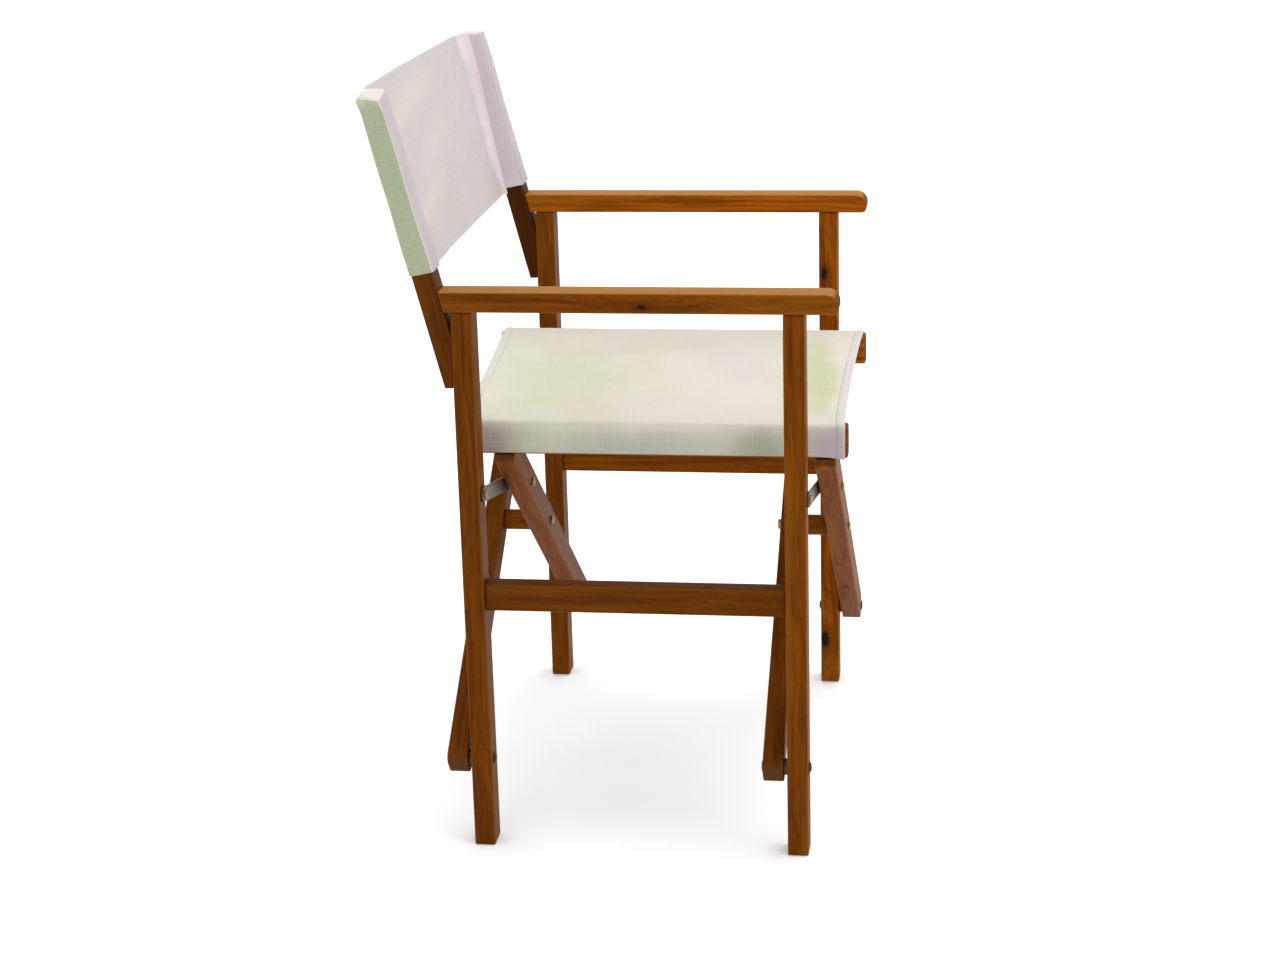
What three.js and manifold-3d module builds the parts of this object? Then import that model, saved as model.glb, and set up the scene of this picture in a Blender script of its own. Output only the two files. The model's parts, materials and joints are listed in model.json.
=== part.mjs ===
// Folding director's chair: two side frames, two pairs of crossed legs that carry the seat rails,
// flat strap links between the crossed legs and the uprights, and a canvas seat and back.
// Millimetres. X across the seat (+X is the sitter's left), the sitter faces -Y, +Z up.
// The origin is on the floor under the middle of the chair's outline.
import * as THREE from 'three';
import Module from 'manifold-3d';
import { mergeVertices } from 'three/addons/utils/BufferGeometryUtils.js';

const wasm = await Module();
wasm.setup();

// ---------- driving dimensions ----------
const GAP = 0.3;                 // clearance between touching pieces
const EDGE = 1.2;                // small chamfer on the timber's long edges

// side frames
const LEG_OUT = 278.4;           // outer face of the uprights, from the middle
const LEG_W = 33;                // upright, across the seat
const LEG_T = 23.1;              // upright, front to back
const LEG_FRONT = 188.5;         // front face of the front uprights, from the frame's middle
const ARM_TOP = 640;
const ARM_H = 22;
const ARM_IN = 246;
const ARM_OUT = 280;
const ARM_NOSE = 224;            // front end of the armrest
const STRETCHER_LOW = 280;
const STRETCHER_HIGH = 310;
const STRETCHER_IN = 249;
const STRETCHER_OUT = 273;

// back posts, leaning back
const LEAN = THREE.MathUtils.degToRad(14);
const POST_FOOT_Z = 534;
const POST_FOOT_Y = 197.7;       // back face of the post at its lower end
const POST_DEPTH = 23.2;         // front face to back face, measured level
const POST_TOP = 838;

// crossed legs
const PIVOT_X = 262;             // lower pivots, on the uprights' centre lines
const PIVOT_Z = 100.5;
const CROSS_Z = 296;             // the crossing pivot, in the middle of the chair
const PLANK_W = 33;
const PLANK_T = 23;
const PLANK_GAP = 4.5;           // between a crossed leg and the upright beside it
const RIGHT_TAIL = 8;            // crossed leg below its lower pivot, by the rail it carries
const LEFT_TAIL = 13.5;
const CORNER_R = 10;             // rounding of the lower ends
const LEAN_X = Math.atan2(PIVOT_X, CROSS_Z - PIVOT_Z);

// seat rails
const RAIL_IN = 189;
const RAIL_OUT = 211;
const RAIL_LOW = 441.3;
const RAIL_TOP = 477.5;
const RIGHT_RAIL = [-229, 201];  // front and back end
const LEFT_RAIL = [-226, 227];

// strap links
const STRAP_Z = 411;             // link pivot on the upright
const STRAP_REACH = 138.7;       // link pivot on the crossed leg, from the crossing
const STRAP_W = 17;
const STRAP_T = 2;
const STRAP_OFF = 0.7;           // strap's clearance to the upright

// fasteners
const BOLT_R = 3;
const HOLE_R = 3.4;
const HOLE_SIDES = 12;
const HEAD_R = 5;
const HEAD_H = 3;
const PIVOT_HEAD_H = 2;          // lower heads on the pivot bolts, on a thin washer
const WASHER_R = 7;
const WASHER_T = 0.8;
const NUT_R = 6.2;
const NUT_H = 4;
const PIVOT_NUT_H = 1.4;         // thin nuts let into the crossed legs
const SPACER_R = 12;             // round wooden spacer at the crossing
const PIVOT_SPACER_R = 9.2;      // spacer washer at the lower pivots
const SCREW_R = 2;
const SCREW_HEAD_R = 4.2;
const SCREW_LENGTH = 26;
const SCREW_HEIGHTS = [556, 586];

// canvas
const CLOTH = 1.4;
const SLIP = 0.4;                // cloth's clearance to the timber
const FLAP_LOW = 444;
const SEAT_FRONT = [-226, -223]; // front edge at the right and the left rail
const SEAT_BACK = [199.5, 225];    // back edge at the right and the left rail
const RIGHT_SLEEVE = [662, 656.5, 851];  // lower edge at front and back, and the top
const LEFT_SLEEVE = [653.5, 648, 841];
const PANEL_LOW = 642;

// ---------- derived positions ----------
const FRONT_LEG = [-LEG_FRONT, -LEG_FRONT + LEG_T];
const BACK_LEG = [LEG_FRONT - LEG_T, LEG_FRONT];
const STEP = PLANK_GAP + PLANK_T;
const A_FRONT = [FRONT_LEG[0] - STEP, FRONT_LEG[0] - PLANK_GAP];
const A_BACK = [BACK_LEG[0] - STEP, BACK_LEG[0] - PLANK_GAP];
const B_FRONT = [FRONT_LEG[1] + PLANK_GAP, FRONT_LEG[1] + STEP];
const B_BACK = [BACK_LEG[1] + PLANK_GAP, BACK_LEG[1] + STEP];
const LINK_X = STRAP_REACH * Math.sin(LEAN_X);
const LINK_Z = CROSS_Z + STRAP_REACH * Math.cos(LEAN_X);
const postBack = (z) => POST_FOOT_Y + (z - POST_FOOT_Z) * Math.tan(LEAN);
const postFront = (z) => postBack(z) - POST_DEPTH;
const SKIN = (SLIP + CLOTH) / Math.cos(LEAN);
const Y_LOW = RIGHT_RAIL[0];
const Y_HIGH = postBack(RIGHT_SLEEVE[2]) + SKIN;
const MIDDLE_Y = (Y_LOW + Y_HIGH) / 2;

// ---------- looks ----------
const WOOD = { color: 0x9a6226, roughness: 0.5, metalness: 0 };
const CANVAS = { color: 0xe6e2d6, roughness: 0.95, metalness: 0 };
const STEEL = { color: 0x8f8d8a, roughness: 0.4, metalness: 0.9 };
const BRASS = { color: 0xb08a45, roughness: 0.35, metalness: 0.9 };
const DARK = { color: 0x3a2a1c, roughness: 0.5, metalness: 0.7 };

// ---------- helpers ----------
function node(name, geometry, look) {
  const mesh = new THREE.Mesh(geometry, new THREE.MeshStandardMaterial(look));
  mesh.name = name;
  return mesh;
}

function ring(x, y, radius, sides) {
  const points = [];
  for (let i = 0; i < sides; i += 1) {
    const a = (2 * Math.PI * i) / sides;
    points.push(new THREE.Vector2(x + radius * Math.cos(a), y + radius * Math.sin(a)));
  }
  return points;
}

function outline(points, holes = []) {
  const shape = new THREE.Shape(points.map(([x, y]) => new THREE.Vector2(x, y)));
  for (const [x, y, r] of holes) {
    shape.holes.push(new THREE.Path(ring(x, y, r, HOLE_SIDES)));
  }
  return shape;
}

// A board cut to an outline, with chamfered edges; its thickness runs along local Z from 0.
function board(shape, thickness, edge = EDGE) {
  const geometry = new THREE.ExtrudeGeometry(shape, {
    depth: thickness - 2 * edge,
    bevelEnabled: edge > 0,
    bevelThickness: edge,
    bevelSize: edge,
    bevelOffset: -edge,
    bevelSegments: 1,
  });
  geometry.translate(0, 0, edge);
  return geometry;
}

// Board with its outline in X and Z and its thickness along Y, from yRange[0] to yRange[1].
function acrossY(name, shape, yRange, look, edge = EDGE) {
  const mesh = node(name, board(shape, yRange[1] - yRange[0], edge), look);
  mesh.rotation.x = Math.PI / 2;
  mesh.position.y = yRange[1];
  return mesh;
}

// Board with its outline in Y and Z and its thickness along X, from xLow to xHigh.
function acrossX(name, shape, xLow, xHigh, look, edge = EDGE) {
  const mesh = node(name, board(shape, xHigh - xLow, edge), look);
  mesh.rotation.set(Math.PI / 2, Math.PI / 2, 0);
  mesh.position.x = xLow;
  return mesh;
}

function rectangle(x0, y0, x1, y1) {
  return [[x0, y0], [x1, y0], [x1, y1], [x0, y1]];
}

// Span on the sitter's left (side 1) or right (side -1) between two distances from the middle.
function span(side, inner, outer) {
  return side > 0 ? [inner, outer] : [-outer, -inner];
}

// Body of revolution from [radius, height] points; its axis is placed along Y, towards dir.
function turned(name, profile, x, y, z, dir, look, segments = 14) {
  const points = profile.map(([r, h]) => new THREE.Vector2(r, h));
  const mesh = node(name, new THREE.LatheGeometry(points, segments), look);
  mesh.position.set(x, y, z);
  mesh.rotation.x = dir > 0 ? 0 : Math.PI;
  return mesh;
}

// Domed bolt: the head sits on y = face and points along dir, the shank runs the other way.
function bolt(name, x, face, z, dir, shank, look, washer = false) {
  const seat = washer ? WASHER_T : 0;
  const rise = washer ? PIVOT_HEAD_H : HEAD_H;
  const flange = washer ? [[WASHER_R, 0], [WASHER_R, WASHER_T]] : [];
  const profile = [
    [0, -shank],
    [BOLT_R, -shank],
    [BOLT_R, 0],
    ...flange,
    [HEAD_R, seat],
    [HEAD_R * 0.86, seat + rise * 0.55],
    [HEAD_R * 0.5, seat + rise * 0.9],
    [0, seat + rise],
  ];
  return turned(name, profile, x, face + dir * GAP, z, dir, look);
}

// Hexagonal nut on y = face, pointing along dir.
function nut(name, x, face, z, dir, look, height = NUT_H) {
  const corners = ring(0, 0, NUT_R, 6).map((p) => [p.x, p.y]);
  const low = dir > 0 ? face + GAP : face - GAP - height;
  const bevel = Math.min(0.5, height / 4);
  const hole = [[0, 0, HOLE_R]];
  const mesh = acrossY(name, outline(corners, hole), [low, low + height], look, bevel);
  mesh.position.x = x;
  mesh.position.z = z;
  return mesh;
}

// Plain ring around a bolt between y0 and y1.
function spacer(name, radius, x, y0, y1, z, look) {
  const height = y1 - y0 - 2 * GAP;
  const rim = 0.6;
  const profile = [
    [HOLE_R, 0],
    [radius - rim, 0],
    [radius, rim],
    [radius, height - rim],
    [radius - rim, height],
    [HOLE_R, height],
    [HOLE_R, 0],
  ];
  return turned(name, profile, x, y0 + GAP, z, 1, look, 20);
}

function solidOf(geometry) {
  const bare = geometry.clone();
  bare.deleteAttribute('normal');
  bare.deleteAttribute('uv');
  const merged = mergeVertices(bare, 1e-4);
  return new wasm.Manifold(new wasm.Mesh({
    numProp: 3,
    vertProperties: new Float32Array(merged.attributes.position.array),
    triVerts: new Uint32Array(merged.index.array),
  }));
}

function geometryOf(solid) {
  const mesh = solid.getMesh();
  const geometry = new THREE.BufferGeometry();
  geometry.setAttribute('position', new THREE.BufferAttribute(mesh.vertProperties, 3));
  geometry.setIndex(new THREE.BufferAttribute(mesh.triVerts, 1));
  return geometry;
}

// ---------- side frames ----------
function upright(name, side, yRange) {
  const [x0, x1] = span(side, LEG_OUT - LEG_W, LEG_OUT);
  const holes = [[side * PIVOT_X, PIVOT_Z, HOLE_R], [side * PIVOT_X, STRAP_Z, HOLE_R]];
  const shape = outline(rectangle(x0, 0, x1, ARM_TOP - ARM_H - GAP), holes);
  return acrossY(name, shape, yRange, WOOD);
}

function armrest(name, side) {
  const low = ARM_TOP - ARM_H;
  const points = [
    [postFront(low) - GAP, low],
    [postFront(ARM_TOP) - GAP, ARM_TOP],
    [-ARM_NOSE + 12, ARM_TOP],
    [-ARM_NOSE + 7.5, ARM_TOP - 1],
    [-ARM_NOSE + 3.6, ARM_TOP - 3.6],
    [-ARM_NOSE + 1, ARM_TOP - 8],
    [-ARM_NOSE, ARM_TOP - 13],
    [-ARM_NOSE + 0.8, low + 5],
    [-ARM_NOSE + 3, low + 1.8],
    [-ARM_NOSE + 6, low],
  ];
  const [x0, x1] = span(side, ARM_IN, ARM_OUT);
  return acrossX(name, outline(points), x0, x1, WOOD);
}

function sideStretcher(name, side) {
  const [x0, x1] = span(side, STRETCHER_IN, STRETCHER_OUT);
  const y0 = FRONT_LEG[1] + GAP;
  const y1 = BACK_LEG[0] - GAP;
  return acrossX(name, outline(rectangle(y0, STRETCHER_LOW, y1, STRETCHER_HIGH)), x0, x1, WOOD);
}

// Screw holes through the post and into the upright, square to the upright.
function screwHole(side, z) {
  const drill = new THREE.CylinderGeometry(SCREW_R + GAP, SCREW_R + GAP, 60, 14);
  drill.translate(side * PIVOT_X, LEG_FRONT, z);
  return solidOf(drill);
}

function backPost(name, side) {
  const flat = LEG_FRONT + GAP;
  const meetZ = POST_FOOT_Z + (flat + POST_DEPTH - POST_FOOT_Y) / Math.tan(LEAN);
  const points = [
    [flat, POST_FOOT_Z],
    [POST_FOOT_Y, POST_FOOT_Z],
    [postBack(POST_TOP), POST_TOP],
    [postFront(POST_TOP), POST_TOP],
    [flat, meetZ],
  ];
  const [x0, x1] = span(side, LEG_OUT - LEG_W, LEG_OUT);
  const blank = acrossX(name, outline(points), x0, x1, WOOD);
  blank.updateMatrix();
  let solid = solidOf(blank.geometry.clone().applyMatrix4(blank.matrix));
  for (const z of SCREW_HEIGHTS) {
    solid = solid.subtract(screwHole(side, z));
  }
  return node(name, geometryOf(solid), WOOD);
}

// Back upright: as the front one, with blind holes for the post's screws.
function backUpright(name, side) {
  const blank = upright(name, side, BACK_LEG);
  blank.updateMatrix();
  let solid = solidOf(blank.geometry.clone().applyMatrix4(blank.matrix));
  for (const z of SCREW_HEIGHTS) {
    const drill = new THREE.CylinderGeometry(SCREW_R + GAP, SCREW_R + GAP, 40, 14);
    drill.translate(side * PIVOT_X, LEG_FRONT + 3, z);
    solid = solid.subtract(solidOf(drill));
  }
  return node(name, geometryOf(solid), WOOD);
}

function postScrew(name, side, z) {
  const face = postBack(z - SCREW_HEAD_R) + GAP + SCREW_HEAD_R * Math.tan(LEAN) * 2;
  const profile = [
    [0, -SCREW_LENGTH],
    [SCREW_R, -SCREW_LENGTH + 3],
    [SCREW_R, 0],
    [SCREW_HEAD_R, 0],
    [SCREW_HEAD_R * 0.8, 1.3],
    [0, 1.9],
  ];
  return turned(name, profile, side * PIVOT_X, face, z, 1, STEEL);
}

function sideFrame(label, side) {
  const frame = new THREE.Group();
  frame.add(upright(`${label}_front_upright`, side, FRONT_LEG));
  frame.add(backUpright(`${label}_back_upright`, side));
  frame.add(armrest(`${label}_armrest`, side));
  frame.add(sideStretcher(`${label}_side_stretcher`, side));
  frame.add(backPost(`${label}_back_post`, side));
  frame.add(postScrew(`${label}_post_screw_lower`, side, SCREW_HEIGHTS[0]));
  frame.add(postScrew(`${label}_post_screw_upper`, side, SCREW_HEIGHTS[1]));
  return frame;
}

// Lower pivot: bolt head on one face of the upright, spacer, crossed leg, nut.
// dir points from the upright to the crossed leg.
function lowerPivot(label, side, upright_, dir) {
  const pivot = new THREE.Group();
  const x = side * PIVOT_X;
  const headFace = dir > 0 ? upright_[0] : upright_[1];
  const near = dir > 0 ? upright_[1] : upright_[0];
  const far = near + dir * (PLANK_GAP + PLANK_T);
  const shank = Math.abs(far - headFace) + PIVOT_NUT_H + 2 * GAP;
  const y0 = Math.min(near, near + dir * PLANK_GAP);
  pivot.add(bolt(`${label}_pivot_bolt`, x, headFace, PIVOT_Z, -dir, shank, DARK, true));
  pivot.add(spacer(`${label}_pivot_spacer`, PIVOT_SPACER_R, x, y0, y0 + PLANK_GAP, PIVOT_Z, DARK));
  pivot.add(nut(`${label}_pivot_nut`, x, far, PIVOT_Z, dir, DARK, PIVOT_NUT_H));
  return pivot;
}

// ---------- crossed legs ----------
// Outline in X and Z of a crossed leg whose top is on the given side.
function plankOutline(side) {
  const s = Math.sin(LEAN_X);
  const c = Math.cos(LEAN_X);
  const half = PLANK_W / 2;
  const tail = side < 0 ? RIGHT_TAIL : LEFT_TAIL;
  const at = (u, v) => [PIVOT_X - u * s + v * c, PIVOT_Z + u * c + v * s];
  const upperTop = (RAIL_LOW - GAP - PIVOT_Z - half * s) / c;
  const lowerTop = (PIVOT_X + RAIL_OUT - half * c) / s;
  const points = [];
  const arc = (u, v, from) => {
    for (let i = 0; i <= 3; i += 1) {
      const a = from + (i * Math.PI) / 6;
      points.push(at(u + CORNER_R * Math.cos(a), v + CORNER_R * Math.sin(a)));
    }
  };
  arc(-tail + CORNER_R, half - CORNER_R, Math.PI / 2);
  arc(-tail + CORNER_R, -half + CORNER_R, Math.PI);
  points.push(at(lowerTop, -half));
  points.push([-RAIL_OUT, RAIL_LOW - GAP]);
  points.push(at(upperTop, half));
  const holes = [
    [PIVOT_X, PIVOT_Z, HOLE_R],
    [0, CROSS_Z, HOLE_R],
    [-LINK_X, LINK_Z, HOLE_R],
  ];
  const mirror = -side;
  return outline(
    points.map(([x, z]) => [mirror * x, z]),
    holes.map(([x, z, r]) => [mirror * x, z, r]),
  );
}

function seatRail(name, side, yRange) {
  const [x0, x1] = span(side, RAIL_IN, RAIL_OUT);
  const shape = outline(rectangle(yRange[0], RAIL_LOW, yRange[1], RAIL_TOP));
  return acrossX(name, shape, x0, x1, WOOD, 1.8);
}

function railFrame(label, side, front, back, railRange) {
  const frame = new THREE.Group();
  frame.add(acrossY(`${label}_rail_front_leg`, plankOutline(side), front, WOOD));
  frame.add(acrossY(`${label}_rail_back_leg`, plankOutline(side), back, WOOD));
  frame.add(seatRail(`${label}_seat_rail`, side, railRange));
  return frame;
}

function crossing(label, nearPlank, farPlank) {
  const joint = new THREE.Group();
  const shank = farPlank[1] - nearPlank[0] + NUT_H + 2 * GAP;
  joint.add(bolt(`${label}_crossing_bolt`, 0, nearPlank[0], CROSS_Z, -1, shank, BRASS));
  joint.add(spacer(`${label}_crossing_spacer`, SPACER_R, 0, nearPlank[1], farPlank[0], CROSS_Z, WOOD));
  joint.add(nut(`${label}_crossing_nut`, 0, farPlank[1], CROSS_Z, 1, BRASS));
  return joint;
}

// ---------- strap links ----------
function strapOutline(side) {
  const x0 = side * PIVOT_X;
  const x1 = side * LINK_X;
  const angle = Math.atan2(LINK_Z - STRAP_Z, x1 - x0);
  const points = [];
  const end = (x, z, from) => {
    for (let i = 0; i <= 8; i += 1) {
      const a = from + (i * Math.PI) / 8;
      points.push([x + (STRAP_W / 2) * Math.cos(a), z + (STRAP_W / 2) * Math.sin(a)]);
    }
  };
  end(x0, STRAP_Z, angle + Math.PI / 2);
  end(x1, LINK_Z, angle - Math.PI / 2);
  return outline(points, [[x0, STRAP_Z, HOLE_R], [x1, LINK_Z, HOLE_R]]);
}

// Link beside the upright's face at y = face; dir points from the upright to the crossed leg.
function strapLink(label, side, face, dir) {
  const link = new THREE.Group();
  const inner = face + dir * STRAP_OFF;
  const outer = inner + dir * STRAP_T;
  const range = [Math.min(inner, outer), Math.max(inner, outer)];
  link.add(acrossY(`${label}_strap`, strapOutline(side), range, STEEL, 0.3));
  const through = STRAP_OFF + STRAP_T + LEG_T + GAP;
  link.add(bolt(`${label}_strap_upright_bolt`, side * PIVOT_X, outer, STRAP_Z, dir, through, BRASS));
  const plankFace = face + dir * (PLANK_GAP + PLANK_T);
  const shank = PLANK_T;
  link.add(bolt(`${label}_strap_leg_bolt`, side * LINK_X, plankFace, LINK_Z, dir, shank, BRASS));
  const profile = [
    [0, -GAP - 1.4],
    [HEAD_R * 0.6, -GAP - 1.2],
    [HEAD_R, -GAP],
    [BOLT_R, -GAP],
    [BOLT_R, STRAP_T + GAP],
    [HEAD_R, STRAP_T + GAP],
    [HEAD_R, STRAP_T + GAP + 0.9],
    [0, STRAP_T + GAP + 0.9],
  ];
  link.add(turned(`${label}_strap_rivet`, profile, side * LINK_X, inner, LINK_Z, dir, STEEL));
  return link;
}

// ---------- canvas ----------
// Seat: flat between the rails, with a flap down the outer face of each rail.
function seatCanvas(name) {
  const out = RAIL_OUT + SLIP + CLOTH;
  const into = RAIL_OUT + SLIP;
  const top = RAIL_TOP + SLIP + CLOTH;
  const under = RAIL_TOP + SLIP;
  const shape = outline([
    [-out, FLAP_LOW],
    [-into, FLAP_LOW],
    [-into, under],
    [into, under],
    [into, FLAP_LOW],
    [out, FLAP_LOW],
    [out, top],
    [-out, top],
  ]);
  const geometry = new THREE.ExtrudeGeometry(shape, { depth: 1, bevelEnabled: false });
  const position = geometry.attributes.position;
  const edge = ([right, left], x) => right + ((left - right) * (x + out)) / (2 * out);
  for (let i = 0; i < position.count; i += 1) {
    const x = position.getX(i);
    const ends = position.getZ(i) > 0.5 ? SEAT_FRONT : SEAT_BACK;
    position.setZ(i, -edge(ends, x));
  }
  const mesh = node(name, geometry, CANVAS);
  mesh.rotation.x = Math.PI / 2;
  return mesh;
}

// Closed prism with an outline in Y and Z between xLow and xHigh.
function clothBlock(points, xLow, xHigh) {
  const mesh = acrossX('block', outline(points), xLow, xHigh, CANVAS, 0);
  mesh.updateMatrix();
  return mesh.geometry.clone().applyMatrix4(mesh.matrix);
}

// Sleeve pulled down over the post: closed at the top, open at the bottom.
function sleeve(name, side) {
  const slip = SLIP / Math.cos(LEAN);
  const [frontLow, backLow, top] = side < 0 ? RIGHT_SLEEVE : LEFT_SLEEVE;
  const outerPoints = [
    [postFront(frontLow) - SKIN, frontLow],
    [postBack(backLow) + SKIN, backLow],
    [postBack(top) + SKIN, top],
    [postFront(top) - SKIN, top],
  ];
  const low = backLow - 20;
  const roof = top - CLOTH;
  const innerPoints = [
    [postFront(low) - slip, low],
    [postBack(low) + slip, low],
    [postBack(roof) + slip, roof],
    [postFront(roof) - slip, roof],
  ];
  const legIn = LEG_OUT - LEG_W;
  const [o0, o1] = span(side, legIn - SLIP - CLOTH, LEG_OUT + SLIP + CLOTH);
  const [i0, i1] = span(side, legIn - SLIP, LEG_OUT + SLIP);
  const outer = solidOf(clothBlock(outerPoints, o0, o1));
  const inner = solidOf(clothBlock(innerPoints, i0, i1));
  return node(name, geometryOf(outer.subtract(inner)), CANVAS);
}

// Panel between the sleeves; its upper edge runs down from the right sleeve to the left one.
function backPanel(name) {
  const slip = SLIP / Math.cos(LEAN);
  const half = LEG_OUT - LEG_W - SLIP - CLOTH - GAP;
  const top = (RIGHT_SLEEVE[2] + LEFT_SLEEVE[2]) / 2;
  const points = [
    [postBack(PANEL_LOW) + slip, PANEL_LOW],
    [postBack(PANEL_LOW) + SKIN, PANEL_LOW],
    [postBack(top) + SKIN, top],
    [postBack(top) + slip, top],
  ];
  const geometry = clothBlock(points, -half, half);
  const position = geometry.attributes.position;
  for (let i = 0; i < position.count; i += 1) {
    if (position.getZ(i) < (PANEL_LOW + top) / 2) continue;
    const rise = (LEFT_SLEEVE[2] - top) * (position.getX(i) / half);
    position.setZ(i, position.getZ(i) + rise);
    position.setY(i, position.getY(i) + rise * Math.tan(LEAN));
  }
  return node(name, geometry, CANVAS);
}

// ---------- assembly ----------
const chair = new THREE.Group();
chair.position.y = -MIDDLE_Y;

chair.add(sideFrame('right', -1));
chair.add(sideFrame('left', 1));
chair.add(lowerPivot('right_front', -1, FRONT_LEG, 1));
chair.add(lowerPivot('right_back', -1, BACK_LEG, 1));
chair.add(lowerPivot('left_front', 1, FRONT_LEG, -1));
chair.add(lowerPivot('left_back', 1, BACK_LEG, -1));

chair.add(railFrame('right', -1, A_FRONT, A_BACK, RIGHT_RAIL));
chair.add(railFrame('left', 1, B_FRONT, B_BACK, LEFT_RAIL));
chair.add(crossing('front', A_FRONT, B_FRONT));
chair.add(crossing('back', A_BACK, B_BACK));

chair.add(strapLink('right_front', -1, FRONT_LEG[0], -1));
chair.add(strapLink('right_back', -1, BACK_LEG[0], -1));
chair.add(strapLink('left_front', 1, FRONT_LEG[1], 1));
chair.add(strapLink('left_back', 1, BACK_LEG[1], 1));

chair.add(seatCanvas('seat_canvas'));
chair.add(backPanel('back_canvas_panel'));
chair.add(sleeve('right_canvas_sleeve', -1));
chair.add(sleeve('left_canvas_sleeve', 1));

export default chair;
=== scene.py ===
"""Folding director's chair: oiled timber, brass and steel fittings, and a canvas seat and back.

Run as a script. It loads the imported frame, makes each piece of the chair in that frame in
metres (+X the sitter's left, -Y the way the sitter faces, +Z up), and hangs it on its body.
"""

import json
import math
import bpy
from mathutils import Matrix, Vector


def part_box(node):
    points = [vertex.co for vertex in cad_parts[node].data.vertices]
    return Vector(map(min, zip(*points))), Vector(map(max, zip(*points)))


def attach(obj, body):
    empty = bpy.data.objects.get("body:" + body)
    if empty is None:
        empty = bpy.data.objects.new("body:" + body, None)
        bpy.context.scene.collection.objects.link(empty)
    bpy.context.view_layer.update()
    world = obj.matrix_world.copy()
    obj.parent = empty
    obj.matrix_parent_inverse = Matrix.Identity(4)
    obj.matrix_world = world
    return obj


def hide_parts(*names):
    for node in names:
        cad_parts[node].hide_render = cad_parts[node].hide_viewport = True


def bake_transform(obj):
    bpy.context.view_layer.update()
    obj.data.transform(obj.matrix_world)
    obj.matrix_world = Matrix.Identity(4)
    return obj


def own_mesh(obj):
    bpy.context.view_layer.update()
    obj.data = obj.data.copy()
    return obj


bl_info = {
    "name": "Folding Director's Chair",
    "version": (1, 0, 0),
    "blender": (4, 5, 0),
    "location": "View3D > Sidebar > Chair",
    "description": "Makes a folding canvas chair on its packed frame",
    "category": "Add Mesh",
}

import bpy
import numpy as np

from mathutils import Matrix, Vector

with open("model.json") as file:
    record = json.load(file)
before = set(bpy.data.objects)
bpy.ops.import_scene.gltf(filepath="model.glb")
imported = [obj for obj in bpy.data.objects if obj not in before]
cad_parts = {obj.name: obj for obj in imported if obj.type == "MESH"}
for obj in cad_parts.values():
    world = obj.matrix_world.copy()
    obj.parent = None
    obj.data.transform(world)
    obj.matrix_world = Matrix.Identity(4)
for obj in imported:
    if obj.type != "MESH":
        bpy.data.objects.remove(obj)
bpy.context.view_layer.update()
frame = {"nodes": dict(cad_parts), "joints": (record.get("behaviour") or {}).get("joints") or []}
MM = 0.001

RIGHT, LEFT = -1, 1
SIDES = {"right": RIGHT, "left": LEFT}
ENDS = ("front", "back")
X_AXIS, Y_AXIS, Z_AXIS = np.eye(3)


def span(node):
    """Lowest and highest corner of a CAD node as two arrays."""
    low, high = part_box(node)
    return np.array(low), np.array(high)


def node_points(node):
    """All corner points of a CAD node."""
    mesh = frame["nodes"][node].data
    flat = np.zeros(len(mesh.vertices) * 3, np.float32)
    mesh.vertices.foreach_get("co", flat)
    return flat.reshape(-1, 3).astype(float)


def joint(name):
    """A joint of the record by name."""
    return next(j for j in frame["joints"] if j["name"] == name)


CROSSING = np.array(joint("crossing")["pos_m"])
LOWER_PIVOT = np.array(joint("fold")["pos_m"])
MID_Y = LOWER_PIVOT[1]  # half way between the front and the back uprights
STRAP_PIVOT = np.array(joint("right_strap_swing")["pos_m"])
PLANK_LEAN = math.atan2(-LOWER_PIVOT[0], CROSSING[2] - LOWER_PIVOT[2])


# ---------- sizes and colours a user would change ----------
def length(label, note, default):
    """A length property in metres."""
    return bpy.props.FloatProperty(
        name=label, description=note, default=default, min=0.0, unit="LENGTH", precision=5
    )


def share(label, note, default):
    """A plain factor from 0 to 1."""
    return bpy.props.FloatProperty(
        name=label, description=note, default=default, min=0.0, max=1.0, subtype="FACTOR"
    )


def colour(label, note, default):
    """A linear colour property."""
    return bpy.props.FloatVectorProperty(
        name=label, description=note, default=default, size=3, min=0.0, max=1.0, subtype="COLOR"
    )


class ChairTimber(bpy.types.PropertyGroup):
    edge: length("Edge rounding", "Radius of the timber's long edges", 1.8 * MM)
    corner: length("Corner rounding", "Radius of the corners at a timber's ends", 2.2 * MM)
    nose: length("Armrest edges", "Radius of the armrest's long edges", 2.0 * MM)
    rail: length("Rail edges", "Radius of the seat rail's long edges", 4.0 * MM)
    dark: colour("Dark grain", "Late wood and pores", (0.050, 0.011, 0.0003))
    middle: colour("Brown wood", "Main colour of the darker timbers", (0.128, 0.031, 0.0003))
    orange: colour("Orange wood", "Main colour of the redder timbers", (0.370, 0.088, 0.001))
    light: colour("Light grain", "Early wood", (0.270, 0.088, 0.004))
    # Painted light: the armrests' upward faces are turned to this lighter colour where the light from
    # above falls on them.
    lit_top_colour: colour("Bleached wood", "Tops of the armrests", (0.370, 0.165, 0.035))
    end: colour("End grain", "Cut ends of the timber", (0.110, 0.058, 0.025))
    knot: colour("Knot", "Heart of a knot", (0.018, 0.007, 0.003))
    gloss: share("Roughness", "Roughness of the oiled surface", 0.40)


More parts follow.
